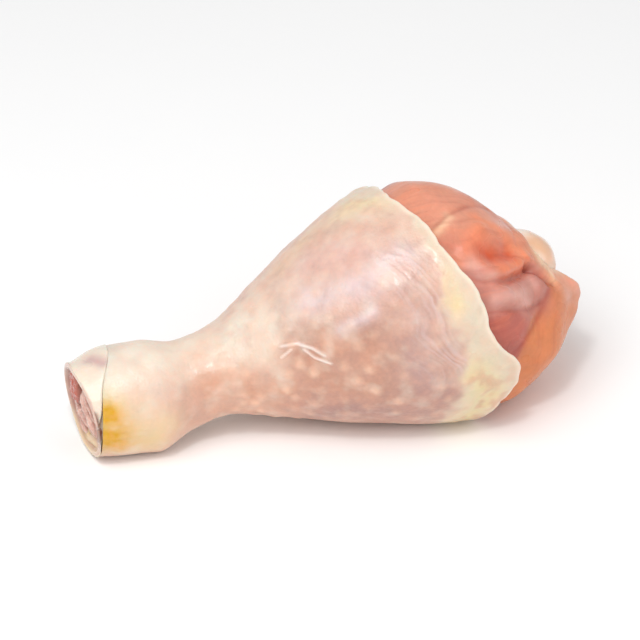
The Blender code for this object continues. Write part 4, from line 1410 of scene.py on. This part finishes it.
def sinew_tree():
    """Round strands along the edges of a mesh, thin at both ends, with a slow waver.

    Each edge path carries its half width in the layer girth.
    """
    tree, given = new_shape_tree("sinews", (
        ("Pieces", "NodeSocketInt", 40), ("Sides", "NodeSocketInt", 10), ("Thin End", "NodeSocketFloat", 0.3),
        ("Waver", "NodeSocketFloat", 0.0005), ("Seed", "NodeSocketInt", 5),
        ("Material", "NodeSocketMaterial", None),
    ))
    girth = layer_of(tree, "girth")
    paths = add(tree, "GeometryNodeMeshToCurve", {0: given["Geometry"]}).outputs[0]
    even = add(tree, "GeometryNodeResampleCurve", {"Curve": paths, "Count": given["Pieces"]}).outputs[0]
    position = add(tree, "GeometryNodeInputPosition").outputs[0]
    shifted = vector_maths(tree, "ADD", position, given["Seed"])
    drift = clouds(tree, shifted, 450.0, 1.0)["Color"]
    centred = vector_maths(tree, "SUBTRACT", drift, (0.5, 0.5, 0.5))
    offset = vector_maths(tree, "SCALE", centred, given["Waver"])
    moved = add(tree, "GeometryNodeSetPosition", {"Geometry": even, "Offset": offset}).outputs[0]
    along = add(tree, "GeometryNodeSplineParameter").outputs["Factor"]
    middle = maths(tree, "SINE", maths(tree, "MULTIPLY", along, math.pi))
    taper = remap(tree, middle, 0.0, 0.75, given["Thin End"], 1.0)
    lumps = clouds(tree, shifted, 900.0, 1.0)[0]
    radius = maths(tree, "MULTIPLY", maths(tree, "MULTIPLY", girth, taper), maths(tree, "ADD", lumps, 0.5))
    ring = add(tree, "GeometryNodeCurvePrimitiveCircle",
               {"Resolution": given["Sides"], "Radius": 1.0}).outputs[0]
    strand = add(tree, "GeometryNodeCurveToMesh",
                 {"Curve": moved, "Profile Curve": ring, "Scale": radius, "Fill Caps": True}).outputs[0]
    smooth = add(tree, "GeometryNodeSetShadeSmooth", {0: strand}).outputs[0]
    end_shape_tree(tree, smooth, given["Material"])
    return tree


def smooth_path(stops, count=16):
    """Even points along a smooth line through a few stops."""
    stops = np.asarray(stops, float)
    spot = np.arange(len(stops))
    places = np.linspace(0, len(stops) - 1, count)
    return np.stack([through(spot, stops[:, k], places) for k in range(stops.shape[1])], axis=-1)


def make_sinews(name, paths, material):
    """One piece of several strands, each given as its points and its half width."""
    points, edges, girths = [], [], []
    for path, girth in paths:
        first = len(points)
        points += (path * MM).tolist()
        edges += [(first + k, first + k + 1) for k in range(len(path) - 1)]
        girths += [girth * MM] * len(path)
    mesh = bpy.data.meshes.new(name)
    mesh.from_pydata(points, edges, [])
    set_layer(mesh, "girth", np.array(girths)[:, None])
    piece = bpy.data.objects.new(name, mesh)
    bpy.context.scene.collection.objects.link(piece)
    run_tree(piece, sinew_tree(), {"Pieces": 40, "Sides": 10, "Thin End": 0.3, "Waver": 0.0005, "Seed": 5,
                                   "Material": material})
    dress(piece, None)
    return piece


def make_face_sinews():
    """Sinews that lie on the sunk ankle face, with their ends dipped under it."""
    size = bpy.context.scene.drumstick_bone
    paths = []
    for route, girth, height in FACE_SINEWS:
        flat = smooth_path(route)
        ends = 1.0 - np.sin(np.linspace(0.0, math.pi, len(flat)))
        x = face_x(flat[:, 0], flat[:, 1]) + RECESS - height + SINEW_SINK * ends ** 2
        paths.append((np.column_stack((x, flat)), girth))
    return make_sinews("face_sinews", paths, sinew_material("ankle sinew", size.strand, size.sinew))


# ---- Stage ----

# Lights: property of the power, then width and place from the model's middle. Widths and places
# are in diagonals of the model's box, and so is FLOOR_REACH, half the floor's width.
LIGHTS = (
    ("key", 4.0, (-2.2, -1.6, 4.2)),
    ("fill", 6.0, (3.2, -3.0, 3.0)),
    ("glint", 0.5, (-1.0, -1.6, 3.4)),
)
FLOOR_REACH = 12.0


def floor_material(size):
    """Matt pale floor with faint blotches."""
    material, tree, shader = new_material("pale floor", IOR=1.3)
    _, factor = mottle(tree, object_place(tree), 12.0, 0.02)
    tree.links.new(shade_colour(tree, (*size.floor,), factor), shader.inputs["Base Color"])
    shader.inputs["Roughness"].default_value = 0.8
    return material


def area_light(name, power, size, place, target):
    """Round soft light at a place, turned towards the target."""
    data = bpy.data.lights.new(name, "AREA")
    data.shape = "DISK"
    data.energy = power
    data.size = size
    lamp = bpy.data.objects.new(name, data)
    lamp.location = place
    lamp.rotation_euler = (target - place).to_track_quat("-Z", "Y").to_euler()
    bpy.context.scene.collection.objects.link(lamp)


def make_stage():
    """Floor, light and camera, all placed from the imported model's box."""
    scene = bpy.context.scene
    size = scene.drumstick_stage
    target = (cad_low + cad_high) / 2
    reach = (cad_high - cad_low).length
    half = FLOOR_REACH * reach
    corners = [(-half, -half, 0), (half, -half, 0), (half, half, 0), (-half, half, 0)]
    mesh = bpy.data.meshes.new("floor")
    mesh.from_pydata(corners, [], [(0, 1, 2, 3)])
    floor = bpy.data.objects.new("floor", mesh)
    scene.collection.objects.link(floor)
    mesh.materials.append(floor_material(size))
    for name, width, place in LIGHTS:
        area_light(name, getattr(size, name), width * reach, target + Vector(place) * reach, target)
    world = bpy.data.worlds.new("soft sky")
    scene.world = world
    world.use_nodes = True
    sky = world.node_tree.nodes["Background"].inputs
    sky["Color"].default_value = (1.0, 1.0, 1.0, 1.0)
    sky["Strength"].default_value = size.sky
    scene.view_settings.view_transform = "Standard"
    data = bpy.data.cameras.new("camera")
    data.lens = size.lens
    data.sensor_width = 36.0
    camera = bpy.data.objects.new("camera", data)
    level = math.cos(size.elevation)
    back = Vector((math.sin(size.azimuth) * level, -math.cos(size.azimuth) * level, math.sin(size.elevation)))
    facing = (-back).to_track_quat("-Z", "Y")
    aim = target - facing @ Vector((size.aim_left, size.aim_low, 0.0))
    camera.location = aim + back * size.distance
    camera.rotation_euler = facing.to_euler()
    scene.collection.objects.link(camera)
    scene.camera = camera


# ---- Operators and panel ----

class DRUMSTICK_OT_skin(bpy.types.Operator):
    """Make the skin sleeve with its fat band, folds and follicles"""
    bl_idname = "drumstick.skin"
    bl_label = "Skin sleeve"

    def execute(self, context):
        make_skin_sleeve()
        return {"FINISHED"}


class DRUMSTICK_OT_muscle(bpy.types.Operator):
    """Make the muscles that show past the skin"""
    bl_idname = "drumstick.muscle"
    bl_label = "Muscle"

    def execute(self, context):
        make_muscle()
        return {"FINISHED"}


class DRUMSTICK_OT_bone(bpy.types.Operator):
    """Make the bone with its ankle face and knee head, and the red tendon stump"""
    bl_idname = "drumstick.bone"
    bl_label = "Bone and tendon"

    def execute(self, context):
        make_shank_bone()
        make_tendon_stump()
        return {"FINISHED"}


class DRUMSTICK_OT_sinews(bpy.types.Operator):
    """Make the sinews across the ankle face"""
    bl_idname = "drumstick.sinews"
    bl_label = "Sinews"

    def execute(self, context):
        make_face_sinews()
        return {"FINISHED"}


class DRUMSTICK_OT_stage(bpy.types.Operator):
    """Make the floor, the lights and the camera"""
    bl_idname = "drumstick.stage"
    bl_label = "Stage"

    def execute(self, context):
        make_stage()
        return {"FINISHED"}


OPERATORS = (
    DRUMSTICK_OT_stage,
    DRUMSTICK_OT_skin,
    DRUMSTICK_OT_muscle,
    DRUMSTICK_OT_bone,
    DRUMSTICK_OT_sinews,
)


class DRUMSTICK_PT_panel(bpy.types.Panel):
    bl_label = "Raw drumstick"
    bl_idname = "DRUMSTICK_PT_panel"
    bl_space_type = "VIEW_3D"
    bl_region_type = "UI"
    bl_category = "Drumstick"

    def draw(self, context):
        for operator in OPERATORS:
            self.layout.operator(operator.bl_idname)
        for name, kind in GROUPS:
            box = self.layout.box()
            box.label(text=name.replace("_", " ").capitalize())
            for field in kind.__annotations__:
                box.prop(getattr(context.scene, name), field)


def register():
    for name, kind in GROUPS:
        bpy.utils.register_class(kind)
        setattr(bpy.types.Scene, name, PointerProperty(type=kind))
    for kind in OPERATORS + (DRUMSTICK_PT_panel,):
        bpy.utils.register_class(kind)


def unregister():
    for kind in reversed(OPERATORS + (DRUMSTICK_PT_panel,)):
        bpy.utils.unregister_class(kind)
    for name, kind in reversed(GROUPS):
        delattr(bpy.types.Scene, name)
        bpy.utils.unregister_class(kind)


def main():
    """Make the stage and every piece."""
    register()
    bpy.ops.drumstick.stage()
    bpy.ops.drumstick.skin()
    bpy.ops.drumstick.muscle()
    bpy.ops.drumstick.bone()
    bpy.ops.drumstick.sinews()


if __name__ == "__main__":
    main()
